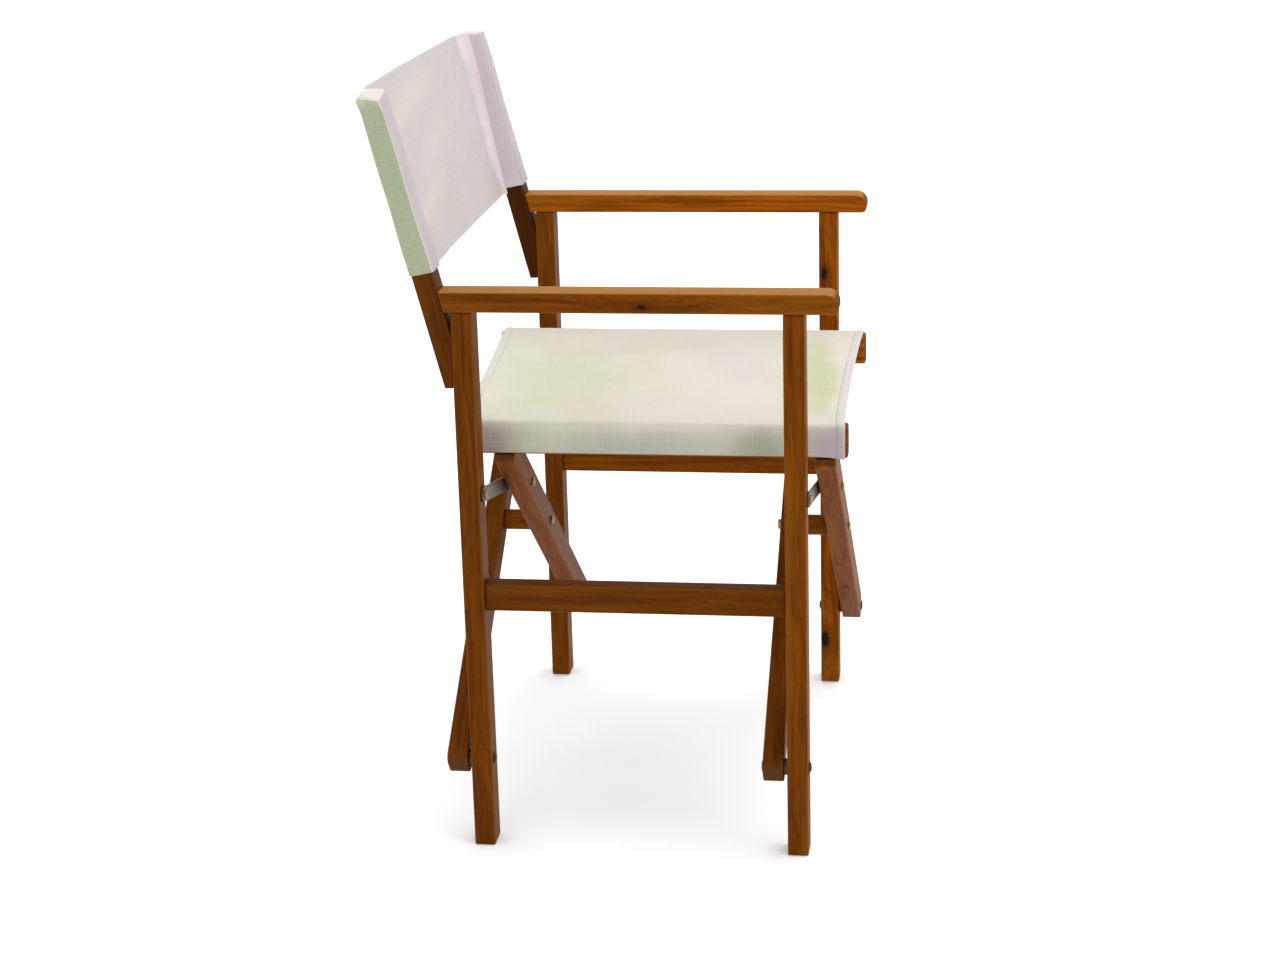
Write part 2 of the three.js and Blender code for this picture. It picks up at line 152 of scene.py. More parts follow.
class ChairCloth(bpy.types.PropertyGroup):
    thickness: length("Cloth thickness", "One layer of canvas", 0.55 * MM)
    hem: length("Hem", "Depth of the folded hems", 12 * MM)
    sag: length("Seat sag", "Drop of the seat between the rails", 5 * MM)
    bow: length("Edge bow", "How far the seat's edges bow in between the rails", 4 * MM)
    thread: length("Thread pitch", "Distance between neighbouring threads", 1.0 * MM)
    stitch: length("Stitch pitch", "Distance between neighbouring stitches", 3.2 * MM)
    ivory: colour("Canvas", "Unbleached cotton of the seat", (0.590, 0.562, 0.485))
    back: colour("Back panel", "Canvas of the back", (0.490, 0.447, 0.440))
    sleeve: colour("Sleeves", "Canvas over the posts", (0.640, 0.570, 0.600))
    # Sage to pale tint the white canvas with painted shade and coloured reflections: sage on the flaps
    # and the sleeves' outer faces, mauve on the sleeves' fronts, and all but sage in the clouds; sage is
    # also the faint random clouding.
    sage: colour("Sage", "Green cast of the shaded cloth", (0.300, 0.350, 0.200))
    lime: colour("Lime", "Yellow-green clouding", (0.480, 0.485, 0.290))
    olive: colour("Olive", "Darker green clouding", (0.340, 0.350, 0.240))
    grey: colour("Grey", "Grey clouding of the flaps", (0.385, 0.375, 0.320))
    lilac: colour("Lilac", "Pale lilac clouding", (0.560, 0.475, 0.530))
    mauve: colour("Mauve", "Deeper lilac clouding", (0.430, 0.362, 0.385))
    plum: colour("Plum", "Darkest clouding", (0.235, 0.165, 0.158))
    cream: colour("Cream", "Warm pale clouding", (0.640, 0.610, 0.490))
    pale: colour("Pale lilac", "Cool pale clouding", (0.790, 0.705, 0.730))
    yarn: colour("Stitching", "Sewing thread", (0.400, 0.360, 0.350))


class ChairMetal(bpy.types.PropertyGroup):
    head: length("Bolt head", "Radius of a domed bolt head", 5.0 * MM)
    brass: colour("Brass", "Bolts of the upper joints", (0.330, 0.215, 0.085))
    steel: colour("Steel", "Strap links", (0.120, 0.100, 0.080))
    dark: colour("Dark metal", "Darkened pivot bolts", (0.090, 0.055, 0.030))


class ChairStage(bpy.types.PropertyGroup):
    lens: bpy.props.FloatProperty(
        name="Lens", description="Focal length", default=74.6, min=1.0, unit="CAMERA"
    )
    floor: colour("Floor", "Plain studio floor", (0.920, 0.930, 0.945))
    air: colour("Surround", "Light from all round", (1.0, 1.0, 1.0))
    ambient: bpy.props.FloatProperty(
        name="Surround strength", description="Strength of the light from all round",
        default=1.02, min=0.0,
    )
    near: bpy.props.FloatProperty(
        name="Near side strength", description="Strength of the light from the camera's side",
        default=0.95, min=0.0,
    )
    overhead: bpy.props.FloatProperty(
        name="Overhead light", description="Strength of the broad light from above",
        default=1.5, min=0.0,
    )


def timber():
    return bpy.context.scene.chair_timber


def cloth():
    return bpy.context.scene.chair_cloth


def metal():
    return bpy.context.scene.chair_metal


# ---------- surfaces ----------
def unit(v):
    """Rows of v at length 1."""
    return v / np.linalg.norm(v, axis=-1, keepdims=True)


def step(low, high, value):
    """Smooth step from 0 at low to 1 at high: t t (3 - 2 t)."""
    t = np.clip((value - low) / (high - low), 0, 1)
    return t * t * (3 - 2 * t)


def rings(corners, radii, insets=(0,), arc=7):
    """Convex closed outlines with their corners on arcs, drawn in by each inset.

    Sides with normals n1 and n2 meet at a corner. An outline drawn in by d keeps an arc of
    r - d there, centred at corner - (d + its radius) (n1 + n2) / (1 + n1.n2), that swings
    from n1 to n2. Gives the points by inset and the normals they share.
    """
    corner = np.asarray(corners, float)
    d = np.asarray(insets, float)[:, None]
    before = unit(corner - np.roll(corner, 1, 0))
    after = unit(np.roll(corner, -1, 0) - corner)
    n1 = np.stack([before[:, 1], -before[:, 0]], 1)
    n2 = np.stack([after[:, 1], -after[:, 0]], 1)
    dot = (n1 * n2).sum(1)
    mitre = (n1 + n2) / (1 + dot)[:, None]
    r = np.maximum(np.broadcast_to(radii, len(corner)) - d, 0.05 * MM)
    start = np.arctan2(n1[:, 1], n1[:, 0])
    swing = np.arccos(np.clip(dot, -1, 1))
    angle = start[:, None] + swing[:, None] * np.linspace(0, 1, arc)
    normal = np.stack([np.cos(angle), np.sin(angle)], -1)
    centre = corner - (d + r)[..., None] * mitre
    points = centre[:, :, None] + r[:, :, None, None] * normal
    return points.reshape(len(d), -1, 2), normal.reshape(-1, 2)


def ring_quads(rows, columns):
    """Quads of a grid that closes on itself along its columns."""
    r, c = np.meshgrid(np.arange(rows - 1), np.arange(columns), indexing="ij")
    d = (c + 1) % columns
    quads = [r * columns + c, r * columns + d, (r + 1) * columns + d, (r + 1) * columns + c]
    return np.stack(quads, -1).reshape(-1, 4)


def sheet_quads(rows, columns):
    """Quads of an open grid."""
    r, c = np.meshgrid(np.arange(rows - 1), np.arange(columns - 1), indexing="ij")
    quads = [r * columns + c, r * columns + c + 1, (r + 1) * columns + c + 1, (r + 1) * columns + c]
    return np.stack(quads, -1).reshape(-1, 4)


def piece(name, points, faces, material, values=None, uv=None):
    """A mesh object from points and faces, with point attributes and an optional UV map."""
    mesh = bpy.data.meshes.new(name)
    mesh.from_pydata(points.tolist(), [], [list(map(int, f)) for f in faces])
    for key, value in (values or {}).items():
        kind = "FLOAT_VECTOR" if value.ndim == 2 else "FLOAT"
        attribute = mesh.attributes.new(key, kind, "POINT")
        field = "vector" if value.ndim == 2 else "value"
        attribute.data.foreach_set(field, value.astype(np.float32).ravel())
    if uv is not None:
        corner = np.zeros(len(mesh.loops), np.int32)
        mesh.loops.foreach_get("vertex_index", corner)
        layer = mesh.uv_layers.new(name="Cloth")
        layer.data.foreach_set("uv", uv[corner].astype(np.float32).ravel())
    mesh.materials.append(material)
    mesh.shade_smooth()
    mesh.set_sharp_from_angle(angle=math.radians(38))
    mesh.validate()
    made = bpy.data.objects.new(name, mesh)
    bpy.context.scene.collection.objects.link(made)
    return made


def hang(made, slot, body, *nodes):
    """Hangs a finished piece on its body and hides the CAD nodes it stands for."""
    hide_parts(*nodes)
    if body:
        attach(made, body)
    return made


def seed_of(name):
    """A fixed number from 0 to 1 for a piece's name, so each timber has its own figure."""
    return (sum((i + 3) * ord(c) for i, c in enumerate(name)) % 97) / 97


def board(corners, radii, low, high, fillet, axes, arc=7):
    """Points, faces, normals and edge wear of a flat timber with rounded edges.

    The outline (a, b) is carried through its thickness c. At angle t of the edge's quarter
    arc it is drawn in by r (1 - sin t) and raised by r (1 - cos t); a ring drawn in a little
    further keeps the flat faces flat, and one face closes each side.
    """
    t = np.linspace(0, math.pi / 2, 5)
    draw = fillet * (1 - np.sin(t))
    rise = fillet * (1 - np.cos(t))
    flat = fillet + 0.5 * MM
    inset = np.concatenate([[flat], draw, draw[::-1], [flat]])
    height = np.concatenate([[low], low + rise, high - rise[::-1], [high]])
    side = np.concatenate([[0], np.sin(t), np.sin(t[::-1]), [0]])
    face = np.concatenate([[-1], -np.cos(t), np.cos(t[::-1]), [1]])
    wear = np.concatenate([[0], np.sin(2 * t), np.sin(2 * t[::-1]), [0]])
    a, b, c = axes
    plane, normals = rings(corners, radii, inset, arc)
    grid = plane[..., :1] * a + plane[..., 1:] * b + height[:, None, None] * c
    outward = side[:, None, None] * (normals[:, :1] * a + normals[:, 1:] * b)
    outward = outward + face[:, None, None] * c
    rows, columns = grid.shape[:2]
    first = np.arange(columns)[::-1]
    last = np.arange(columns) + (rows - 1) * columns
    faces = [*ring_quads(rows, columns), first, last]
    if np.linalg.det(np.array(axes)) < 0:
        faces = [f[::-1] for f in faces]
    return grid.reshape(-1, 3), faces, outward.reshape(-1, 3), np.repeat(wear, columns)


def grain_frame(node, grain):
    """Middle of a timber, its axes along, across and through the grain, and the shift that
    gives each timber its own figure."""
    low, high = span(node)
    along_it = unit(np.asarray(grain, float))
    across = unit(np.cross(Y_AXIS if abs(along_it[1]) < 0.9 else X_AXIS, along_it))
    axes = np.stack([along_it, across, np.cross(along_it, across)], 1)
    return (low + high) / 2, axes, seed_of(node) * np.array([7.0, 3.0, 5.0])


def timber_values(node, points, outward, worn, grain, tone):
    """Attributes of a timber: its own grain coordinates, cut ends, worn edges, tone, and the armrests'
    upward faces for painted top light.
    """
    middle, axes, shift = grain_frame(node, grain)
    values = {"timber": (points - middle) @ axes + shift}
    values["end"] = step(0.55, 0.85, np.abs(outward @ axes[:, 0]))
    values["wear"] = worn
    values["tone"] = np.full(len(points), float(tone))
    # Painted light: the armrests' upward faces, later turned lighter as if lit from above.
    values["sunned"] = step(0.5, 1.0, outward[:, 2]) * node.endswith("armrest")
    return values


def knots_in(node, grain, places):
    """Knots given by their place in the chair and their radius, in the timber's own grain."""
    middle, axes, shift = grain_frame(node, grain)
    own = (np.array(places)[:, :3] + (0, MID_Y, 0) - middle) @ axes + shift
    return tuple((*map(float, o.round(5)), place[3]) for o, place in zip(own, places))


def timber_piece(node, shape, low, high, axes, grain, body, tone, fillet=None, arc=7):
    """A rounded timber that stands for a CAD node; shape is its corners and their radii."""
    shown = board(*shape, low, high, fillet or timber().edge, axes, arc)
    points, faces, outward, worn = shown
    knots = knots_in(node, grain, KNOTS[node]) if node in KNOTS else ()
    values = timber_values(node, points, outward, worn, grain, tone)
    made = piece(node + "_timber", points, faces, oiled_wood(knots), values)
    return hang(made, "wood", body, node)


def turned(profile, centre, axis, sides=40, flats=0):
    """Points and faces of a profile (radius, height) turned about an axis.

    With flats, the radius follows a polygon: R cos(pi/n) / cos((angle mod 2 pi/n) - pi/n).
    """
    profile = np.asarray(profile, float)
    angle = np.linspace(0, 2 * math.pi, sides, endpoint=False)
    axis = unit(np.asarray(axis, float))
    across = unit(np.cross(axis, X_AXIS if abs(axis[0]) < 0.9 else Z_AXIS))
    third = np.cross(axis, across)
    wave = np.ones(sides)
    if flats:
        half = math.pi / flats
        wave = math.cos(half) / np.cos(np.mod(angle, 2 * half) - half)
    spin = np.cos(angle)[:, None] * across + np.sin(angle)[:, None] * third
    rings = profile[1:-1]
    body = rings[:, None, :1] * (wave[:, None] * spin)[None] + rings[:, None, 1:] * axis
    poles = profile[[0, -1], 1][:, None] * axis
    points = np.concatenate([body.reshape(-1, 3), poles]) + np.asarray(centre)
    quads = ring_quads(len(rings), sides)
    here = np.arange(sides)
    there = (here + 1) % sides
    top = (len(rings) - 1) * sides
    low_pole, high_pole = len(points) - 2, len(points) - 1
    first = np.stack([there, here, np.full(sides, low_pole)], 1)
    last = np.stack([here + top, there + top, np.full(sides, high_pole)], 1)
    return points, [*quads, *first, *last]


def join(parts):
    """One set of points and faces from several."""
    shift, points, faces = 0, [], []
    for p, f in parts:
        points.append(p)
        faces += [np.asarray(face) + shift for face in f]
        shift += len(p)
    return np.concatenate(points), faces


# ---------- shaders ----------
class Socket:
    """A node's output; arithmetic on it adds Math nodes."""

    def __init__(self, shader, output):
        self.shader = shader
        self.output = output

    def math(self, operation, other=None, reflected=False):
        values = [self] if other is None else [self, other]
        if reflected:
            values.reverse()
        settings = {"operation": operation}
        return self.shader.node("ShaderNodeMath", settings, dict(enumerate(values)))

    def __add__(self, other):
        return self.math("ADD", other)

    def __radd__(self, other):
        return self.math("ADD", other, True)

    def __sub__(self, other):
        return self.math("SUBTRACT", other)

    def __rsub__(self, other):
        return self.math("SUBTRACT", other, True)

    def __mul__(self, other):
        return self.math("MULTIPLY", other)

    def __rmul__(self, other):
        return self.math("MULTIPLY", other, True)


class Shader:
    """A material under construction, around one Principled BSDF."""

    def __init__(self, name):
        self.material = bpy.data.materials.new(name)
        self.material.use_nodes = True
        self.tree = self.material.node_tree
        self.tree.nodes.clear()
        self.surface = self.tree.nodes.new("ShaderNodeBsdfPrincipled")
        result = self.tree.nodes.new("ShaderNodeOutputMaterial")
        self.tree.links.new(self.surface.outputs[0], result.inputs[0])

    def put(self, socket, value):
        """Links or sets one input."""
        if isinstance(value, Socket):
            self.tree.links.new(value.output, socket)
        else:
            socket.default_value = value

    def node(self, kind, settings=None, values=None, output=0):
        """Adds a node: settings first, then the values or links of its sockets."""
        made = self.tree.nodes.new(kind)
        for key, value in (settings or {}).items():
            setattr(made, key, value)
        for key, value in (values or {}).items():
            self.put(made.inputs[key], value)
        return Socket(self, made.outputs[output])

    def set(self, **values):
        """Sets or links inputs of the surface, with _ for a space."""
        for key, value in values.items():
            self.put(self.surface.inputs[key.replace("_", " ")], value)
        return self

    def value(self, name, vector=False):
        """A point attribute of the piece."""
        settings = {"attribute_name": name}
        return self.node("ShaderNodeAttribute", settings, output=1 if vector else 2)

    def scaled(self, vector, factors, shift=(0, 0, 0)):
        """vector * factors + shift."""
        settings = {"operation": "MULTIPLY_ADD"}
        return self.node("ShaderNodeVectorMath", settings, {0: vector, 1: factors, 2: shift})

    def noise(self, vector, scale=1.0, detail=3.0, roughness=0.55, distortion=0.0):
        """Noise from 0 to 1."""
        values = {"Vector": vector, "Scale": scale, "Detail": detail}
        values |= {"Roughness": roughness, "Distortion": distortion}
        return self.node("ShaderNodeTexNoise", {}, values)

    def between(self, value, low, high):
        """Smooth step of a value from 0 at low to 1 at high."""
        settings = {"interpolation_type": "SMOOTHSTEP"}
        values = {0: value, 1: low, 2: high, 3: 0.0, 4: 1.0}
        return self.node("ShaderNodeMapRange", settings, values)

    def mix(self, factor, a, b, blend="MIX"):
        """Colour a turned to b by factor."""
        settings = {"data_type": "RGBA", "blend_type": blend}
        values = {0: factor, 6: self.opaque(a), 7: self.opaque(b)}
        return self.node("ShaderNodeMix", settings, values, output=2)

    @staticmethod
    def opaque(shade):
        return shade if isinstance(shade, Socket) else (*shade[:3], 1.0)

    def bump(self, height, strength, distance):
        """Height as a surface normal."""
        values = {"Strength": strength, "Distance": distance, "Height": height}
        return self.node("ShaderNodeBump", {}, values)

    def parts(self, vector):
        """The three parts of a vector."""
        made = self.node("ShaderNodeSeparateXYZ", {}, {0: vector})
        return [Socket(self, out) for out in made.output.node.outputs]


def made_once(make):
    """Keeps a material for the pieces that share it."""
    kept = {}

    def shared(*args):
        if args not in kept:
            kept[args] = make(*args)
        return kept[args]

    return shared


@made_once
def oiled_wood(knots=()):
    """Oiled hardwood in a timber's own grain coordinates: broad tone, streaks, fibres, pores, and
    painted light on the armrests' upward faces; negative tones darken it, which on the far back post is
    painted shade.

    Each knot is (along, across, through, radius) in those coordinates.
    """
    s = Shader("oiled_wood" + "_knotted" * bool(knots))
    look = timber()
    at = s.value("timber", vector=True)
    tone, wear, end = s.value("tone"), s.value("wear"), s.value("end")
    lit_top_mask = s.value("sunned")
    warp = s.noise(s.scaled(at, (5, 26, 26)), detail=2) - 0.5
    along_it, across, through = s.parts(at)
    for place in knots:
        warp = warp + near_knot(s, at, place, 0.010, 0.050) * 0.55
    moved = {0: along_it, 1: across + warp * 0.012, 2: through + warp * 0.010}
    bent = s.node("ShaderNodeCombineXYZ", {}, moved)
    broad = s.noise(s.scaled(bent, (3.2, 42, 42)), detail=2)
    streak = s.noise(s.scaled(bent, (8, 190, 190)), detail=4, roughness=0.6)
    fibre = s.noise(s.scaled(bent, (30, 1300, 1300)), detail=3, roughness=0.65)
    pores = s.between(s.noise(s.scaled(bent, (80, 1900, 1900)), detail=1), 0.58, 0.72)
    rings_in = ((across + through * 0.6 + warp * 0.05) * 620.0).math("SINE") * 0.5 + 0.5
    body = s.mix(tone, look.middle, look.orange)
    shade = s.mix(s.between(streak, 0.36, 0.66) * 0.62, body, look.dark)
    shade = s.mix(s.between(broad, 0.42, 0.74) * 0.42, shade, look.light)
    shade = s.mix(s.between(rings_in, 0.62, 1.0) * 0.22, shade, look.dark)
    shade = s.mix(s.between(fibre, 0.40, 0.70) * 0.20, shade, look.light)
    shade = s.mix(pores * 0.35, shade, look.dark)
    shade = s.mix(wear * 0.32, shade, look.light)
    # Negative tones darken towards a deeper dark grain; on the far back post this is painted shade.
    shade = s.mix(tone * -0.8, shade, tuple(c * 0.6 for c in look.dark))
    # Painted light on the armrests' upward faces.
    shade = s.mix(lit_top_mask * 0.75, shade, look.lit_top_colour)
    cut = s.noise(s.scaled(at, (300, 300, 300)), detail=3)
    shade = s.mix(end * 0.75, shade, s.mix(cut, look.end, look.dark))
    for place in knots:
        halo = near_knot(s, at, place, place[3] * 0.9, place[3] * 2.6)
        heart = near_knot(s, at, place, place[3] * 0.45, place[3] * 1.05)
        shade = s.mix(halo * 0.45, shade, look.dark)
        shade = s.mix(heart, shade, look.knot)
    rough = look.gloss + fibre * 0.16 + pores * 0.12 + end * 0.2
    height = fibre * 0.35 + streak * 0.35 - pores * 0.5
    s.set(Base_Color=shade, Roughness=rough, Normal=s.bump(height, 0.30, 0.0004))
    s.set(IOR=WOOD_IOR)
    return s.material


def near_knot(s, at, place, inner, outer):
    """1 within the inner distance of a knot's heart and 0 beyond the outer one; a knot is
    drawn out along the grain."""
    heart = (-place[0] * 0.5, -place[1], -place[2])
    settings = {"operation": "LENGTH"}
    far = s.node("ShaderNodeVectorMath", settings, {0: s.scaled(at, (0.5, 1, 1), heart)}, 1)
    rough_edge = s.noise(s.scaled(at, (160, 320, 320)), detail=2) - 0.5
    return 1 - s.between(far + rough_edge * inner * 0.8, inner, outer)


WOOD_IOR = 1.11
TINTS = ("lime", "olive", "grey", "lilac", "mauve", "plum", "cream", "pale")
# Clouds of painted coloured reflection and shade on the cloth: across and along its face, half sizes,
# turn, tint and strength.
SEAT_CLOUDS = (
    (-0.04, 0.110, 0.300, 0.150, 0.1, "lime", 0.55),
    (0.05, -0.178, 0.240, 0.030, 0.04, "lime", 1.00),
    (-0.05, -0.190, 0.180, 0.022, 0.02, "lime", 1.00),
    (0.12, 0.010, 0.040, 0.090, 0.5, "lime", 0.35),
    (0.08, -0.070, 0.150, 0.060, 0.4, "lilac", 0.30),
    (0.14, 0.060, 0.050, 0.050, 0.4, "lilac", 0.25),
    (-0.15, 0.060, 0.040, 0.090, 0.3, "lilac", 0.22),
    (0.00, -0.222, 0.300, 0.014, 0.0, "lilac", 0.65),
    # On the flaps: painted shade and coloured reflection.
    (-0.246, 0.020, 0.036, 0.150, 0.0, "grey", 1.00),
    (-0.246, 0.205, 0.060, 0.085, 0.0, "plum", 1.00),
    (-0.256, -0.030, 0.018, 0.070, 0.0, "mauve", 0.55),
    (-0.246, -0.122, 0.036, 0.045, 0.2, "olive", 0.90),
    (-0.246, -0.212, 0.060, 0.062, 0.0, "mauve", 1.00),
    (0.246, 0.195, 0.044, 0.062, 0.0, "plum", 0.80),
    (0.246, -0.020, 0.036, 0.150, 0.0, "grey", 0.90),
    (0.246, -0.210, 0.044, 0.044, 0.0, "mauve", 0.90),
)
# On the back: the cream and lilac clouds paint the panel's soft light and shade; the pale clouds are
# painted light.
BACK_CLOUDS = (
    (-0.08, 0.812, 0.220, 0.024, 0.10, "cream", 0.32),
    (-0.02, 0.755, 0.120, 0.026, 0.22, "cream", 0.26),
    (-0.12, 0.700, 0.160, 0.022, 0.16, "cream", 0.36),
    (0.21, 0.740, 0.050, 0.100, 0.0, "lilac", 0.40),
    (-0.20, 0.760, 0.030, 0.120, 0.0, "lilac", 0.30),
    # Painted light where the panel turns into each sleeve, against the shade in that corner.
    (0.248, 0.745, 0.032, 0.300, 0.0, "pale", 1.00),
    (-0.246, 0.745, 0.016, 0.300, 0.0, "pale", 0.70),
)
# A cloud of painted coloured reflection on the sleeves.
SLEEVE_CLOUDS = ((1.06, 0.225, 0.400, 0.030, 0.0, "cream", 0.80),)


@made_once
def canvas(name, clouds=()):
    """Plain-woven cotton in the cloth's own coordinates: threads, slubs, faint random clouding, and
    clouds of painted coloured reflection and shade.

    One attribute of the piece turns the ground to sage below 0.5, as painted shade, and to mauve above
    it, as painted reflection.
    """
    s = Shader(name)
    look = cloth()
    tints = {key: getattr(look, key) for key in TINTS}
    at = s.node("ShaderNodeUVMap", {"uv_map": "Cloth"})
    u, v, _ = s.parts(at)
    turn = 2 * math.pi / look.thread
    weave = (u * turn).math("SINE") * (v * turn).math("SINE") * 0.5 + 0.5
    slub = s.noise(s.scaled(at, (24, 620, 1)), detail=3) * 0.5
    slub = slub + s.noise(s.scaled(at, (620, 24, 1)), detail=3) * 0.5
    cloud = s.noise(s.scaled(at, (9, 9, 9), (3.1, 1.7, 0.4)), detail=2)
    cast = s.value("cast")
    shade = {"seat_canvas": look.ivory, "back_canvas": look.back, "sleeve_canvas": look.sleeve}[name]
    drift = s.noise(s.scaled(at, (14, 14, 1)), detail=2) - 0.5
    shade = s.mix(s.between(cloud, 0.52, 0.78) * 0.12, shade, look.sage)
    # Painted shade: towards sage below 0.5. Painted reflection: towards mauve above 0.5.
    shade = s.mix(1 - s.between(cast, 0.0, 0.5), shade, look.sage)
    shade = s.mix(s.between(cast, 0.5, 1.0), shade, look.mauve)
    # Clouds of painted coloured reflection and shade.
    for across, along_it, wide, deep, angle, tint, strength in clouds:
        settings = {"vector_type": "TEXTURE"}
        values = {0: at, 1: (across, along_it, 0), 2: (0, 0, angle), 3: (wide, deep, 1)}
        own = s.node("ShaderNodeMapping", settings, values)
        far = s.node("ShaderNodeVectorMath", {"operation": "LENGTH"}, {0: own}, 1)
        within = 1 - s.between(far + drift * 1.1, 0.15, 1.0)
        shade = s.mix(within * strength, shade, tints[tint])
    shade = s.mix(s.between(slub, 0.42, 0.62) * 0.10, shade, (0.80, 0.79, 0.74))
    shade = s.mix((1 - weave) * 0.08, shade, (0.30, 0.28, 0.25))
    height = weave * 0.5 + slub * 0.9
    s.set(Base_Color=shade, Roughness=0.86 + slub * 0.1, Normal=s.bump(height, 0.28, 0.0005))
    s.set(Sheen_Weight=0.12, Sheen_Roughness=0.5, Specular_IOR_Level=0.2)
    return s.material


@made_once
def fitting(name, kind):
    """Turned or pressed metal with a soft grain, fine scratches and dull patches."""
    s = Shader(name)
    look = metal()
    shade = {"brass": look.brass, "steel": look.steel, "dark": look.dark}[kind]
    at = s.node("ShaderNodeTexCoord", {}, output=3)
    patch = s.noise(at, scale=160, detail=3)
    scratch = s.noise(s.scaled(at, (260, 900, 2400)), detail=2)
    dull = tuple(c * 0.45 for c in shade)
    pale = tuple(min(1.0, c * 1.35 + 0.03) for c in shade)
    tint = s.mix(s.between(patch, 0.42, 0.72) * 0.55, shade, dull)
    tint = s.mix(s.between(scratch, 0.55, 0.75) * 0.30, tint, pale)
    rough = {"brass": 0.26, "steel": 0.36, "dark": 0.40}[kind]
    s.set(Base_Color=tint, Roughness=rough + patch * 0.16, Metallic=0.92)
    s.set(Normal=s.bump(scratch + patch * 0.5, 0.20, 0.0003))
    return s.material


@made_once
def sewing_thread():
    """Twisted cotton thread."""
    s = Shader("sewing_thread")
    at = s.node("ShaderNodeTexCoord", {}, output=3)
    twist = s.noise(at, scale=900, detail=2)
    shade = s.mix(twist * 0.5, cloth().yarn, (0.78, 0.75, 0.68))
    s.set(Base_Color=shade, Roughness=0.85, Normal=s.bump(twist, 0.2, 0.0002))
    return s.material


# ---------- timber ----------
ACROSS_Y = (X_AXIS, Z_AXIS, Y_AXIS)
ACROSS_X = (Y_AXIS, Z_AXIS, X_AXIS)

# Knots by their place in the chair, Y from between the uprights, and radius, in metres.
KNOTS = {
    "left_front_upright": (
        (0.2454, -0.1718, 0.5420, 0.0052),
        (0.2454, -0.1704, 0.0590, 0.0072),
    ),
    "right_armrest": ((-0.2800, -0.0171, 0.6255, 0.0034),),
    "right_rail_front_leg": ((0.1439, -0.2029, 0.1680, 0.0034),),
}
# From -1, dark, through 0, brown, to 1, orange. The far (left) back post's -1 is painted shade: it
# stands in the shadow of the back canvas.
TONES = {
    "right_front_upright": 0.14,
    "right_back_upright": 0.00,
    "right_side_stretcher": -0.36,
    "right_armrest": 0.08,
    "right_back_post": -0.60,
    "right_seat_rail": 0.30,
    "left_front_upright": 0.62,
    "left_back_upright": 0.04,
    "left_side_stretcher": 0.30,
    "left_armrest": 0.95,
    # Painted shade: the far back post stands in the shadow of the back canvas.
    "left_back_post": -1.00,
    "left_seat_rail": 1.00,
    "right_rail_front_leg": 0.20,
    "right_rail_back_leg": 0.16,
    "left_rail_front_leg": -0.25,
    "left_rail_back_leg": -0.05,
}


def oblong(low, high, a, b):
    """Corners of a box's outline in two of its axes."""
    return [(low[a], low[b]), (high[a], low[b]), (high[a], high[b]), (low[a], high[b])]


def post_lines(label):
    """Side view of a post: its foot's height, back Y at the foot, lean, and level depth."""
    low, high = span(f"{label}_back_post")
    points = node_points(f"{label}_back_post")[:, 1:]
    foot = points[points[:, 1] < low[2] + 2 * MM, 0].max()
    top = points[points[:, 1] > high[2] - 2 * MM, 0]
    return low[2], foot, (high[1] - foot) / (high[2] - low[2]), top.max() - top.min()


class CHAIR_OT_side_frames(bpy.types.Operator):
    """Uprights, armrests and side stretchers of both side frames"""

    bl_idname = "chair.side_frames"
    bl_label = "Side frames"

    def execute(self, context):
        r = timber().corner
        for label in SIDES:
            for end in ENDS:
                node = f"{label}_{end}_upright"
                low, high = span(node)
                shape = oblong(low, high, 0, 2), [1.4 * r, 1.4 * r, r, r]
                self.part(node, shape, low[1], high[1], ACROSS_Y, Z_AXIS, label)
            node = f"{label}_side_stretcher"
            low, high = span(node)
            shape = oblong(low, high, 1, 2), 0.6 * MM
            self.part(node, shape, low[0], high[0], ACROSS_X, Y_AXIS, label)
            self.armrest(label)
        return {"FINISHED"}

    def part(self, node, shape, low, high, axes, grain, label, **more):
        timber_piece(node, shape, low, high, axes, grain, f"{label}_frame", TONES[node], **more)

    def armrest(self, label):
        """Side view: flat top, rounded nose, back end cut to the post's lean."""
        node = f"{label}_armrest"
        low, high = span(node)
        foot_z, foot_y, lean, depth = post_lines(label)
        back = [foot_y + (z - foot_z) * lean - depth - 0.15 * MM for z in (low[2], high[2])]
        corners = [(low[1], low[2]), (back[0], low[2]), (back[1], high[2]), (low[1], high[2])]
        shape = corners, [6 * MM, 0.6 * MM, 0.6 * MM, 13 * MM]
        more = {"fillet": timber().nose, "arc": 12}
        self.part(node, shape, low[0], high[0], ACROSS_X, Y_AXIS, label, **more)


class CHAIR_OT_back_posts(bpy.types.Operator):
    """Leaning posts of the back, wedge-cut on to the back uprights"""

    bl_idname = "chair.back_posts"
    bl_label = "Back posts"

    def execute(self, context):
        for label in SIDES:
            node = f"{label}_back_post"
            low, high = span(node)
            foot_z, foot_y, lean, depth = post_lines(label)
            meet = foot_z + (low[1] + depth - foot_y) / lean
            corners = [(low[1], foot_z), (foot_y, foot_z), (high[1], high[2])]
            corners += [(high[1] - depth, high[2]), (low[1], meet)]
            shape = corners, np.array([1, 1.5, 4, 4, 8]) * MM
            more = (ACROSS_X, (0, lean, 1), f"{label}_frame", TONES[node])
            timber_piece(node, shape, low[0], high[0], *more)
        return {"FINISHED"}


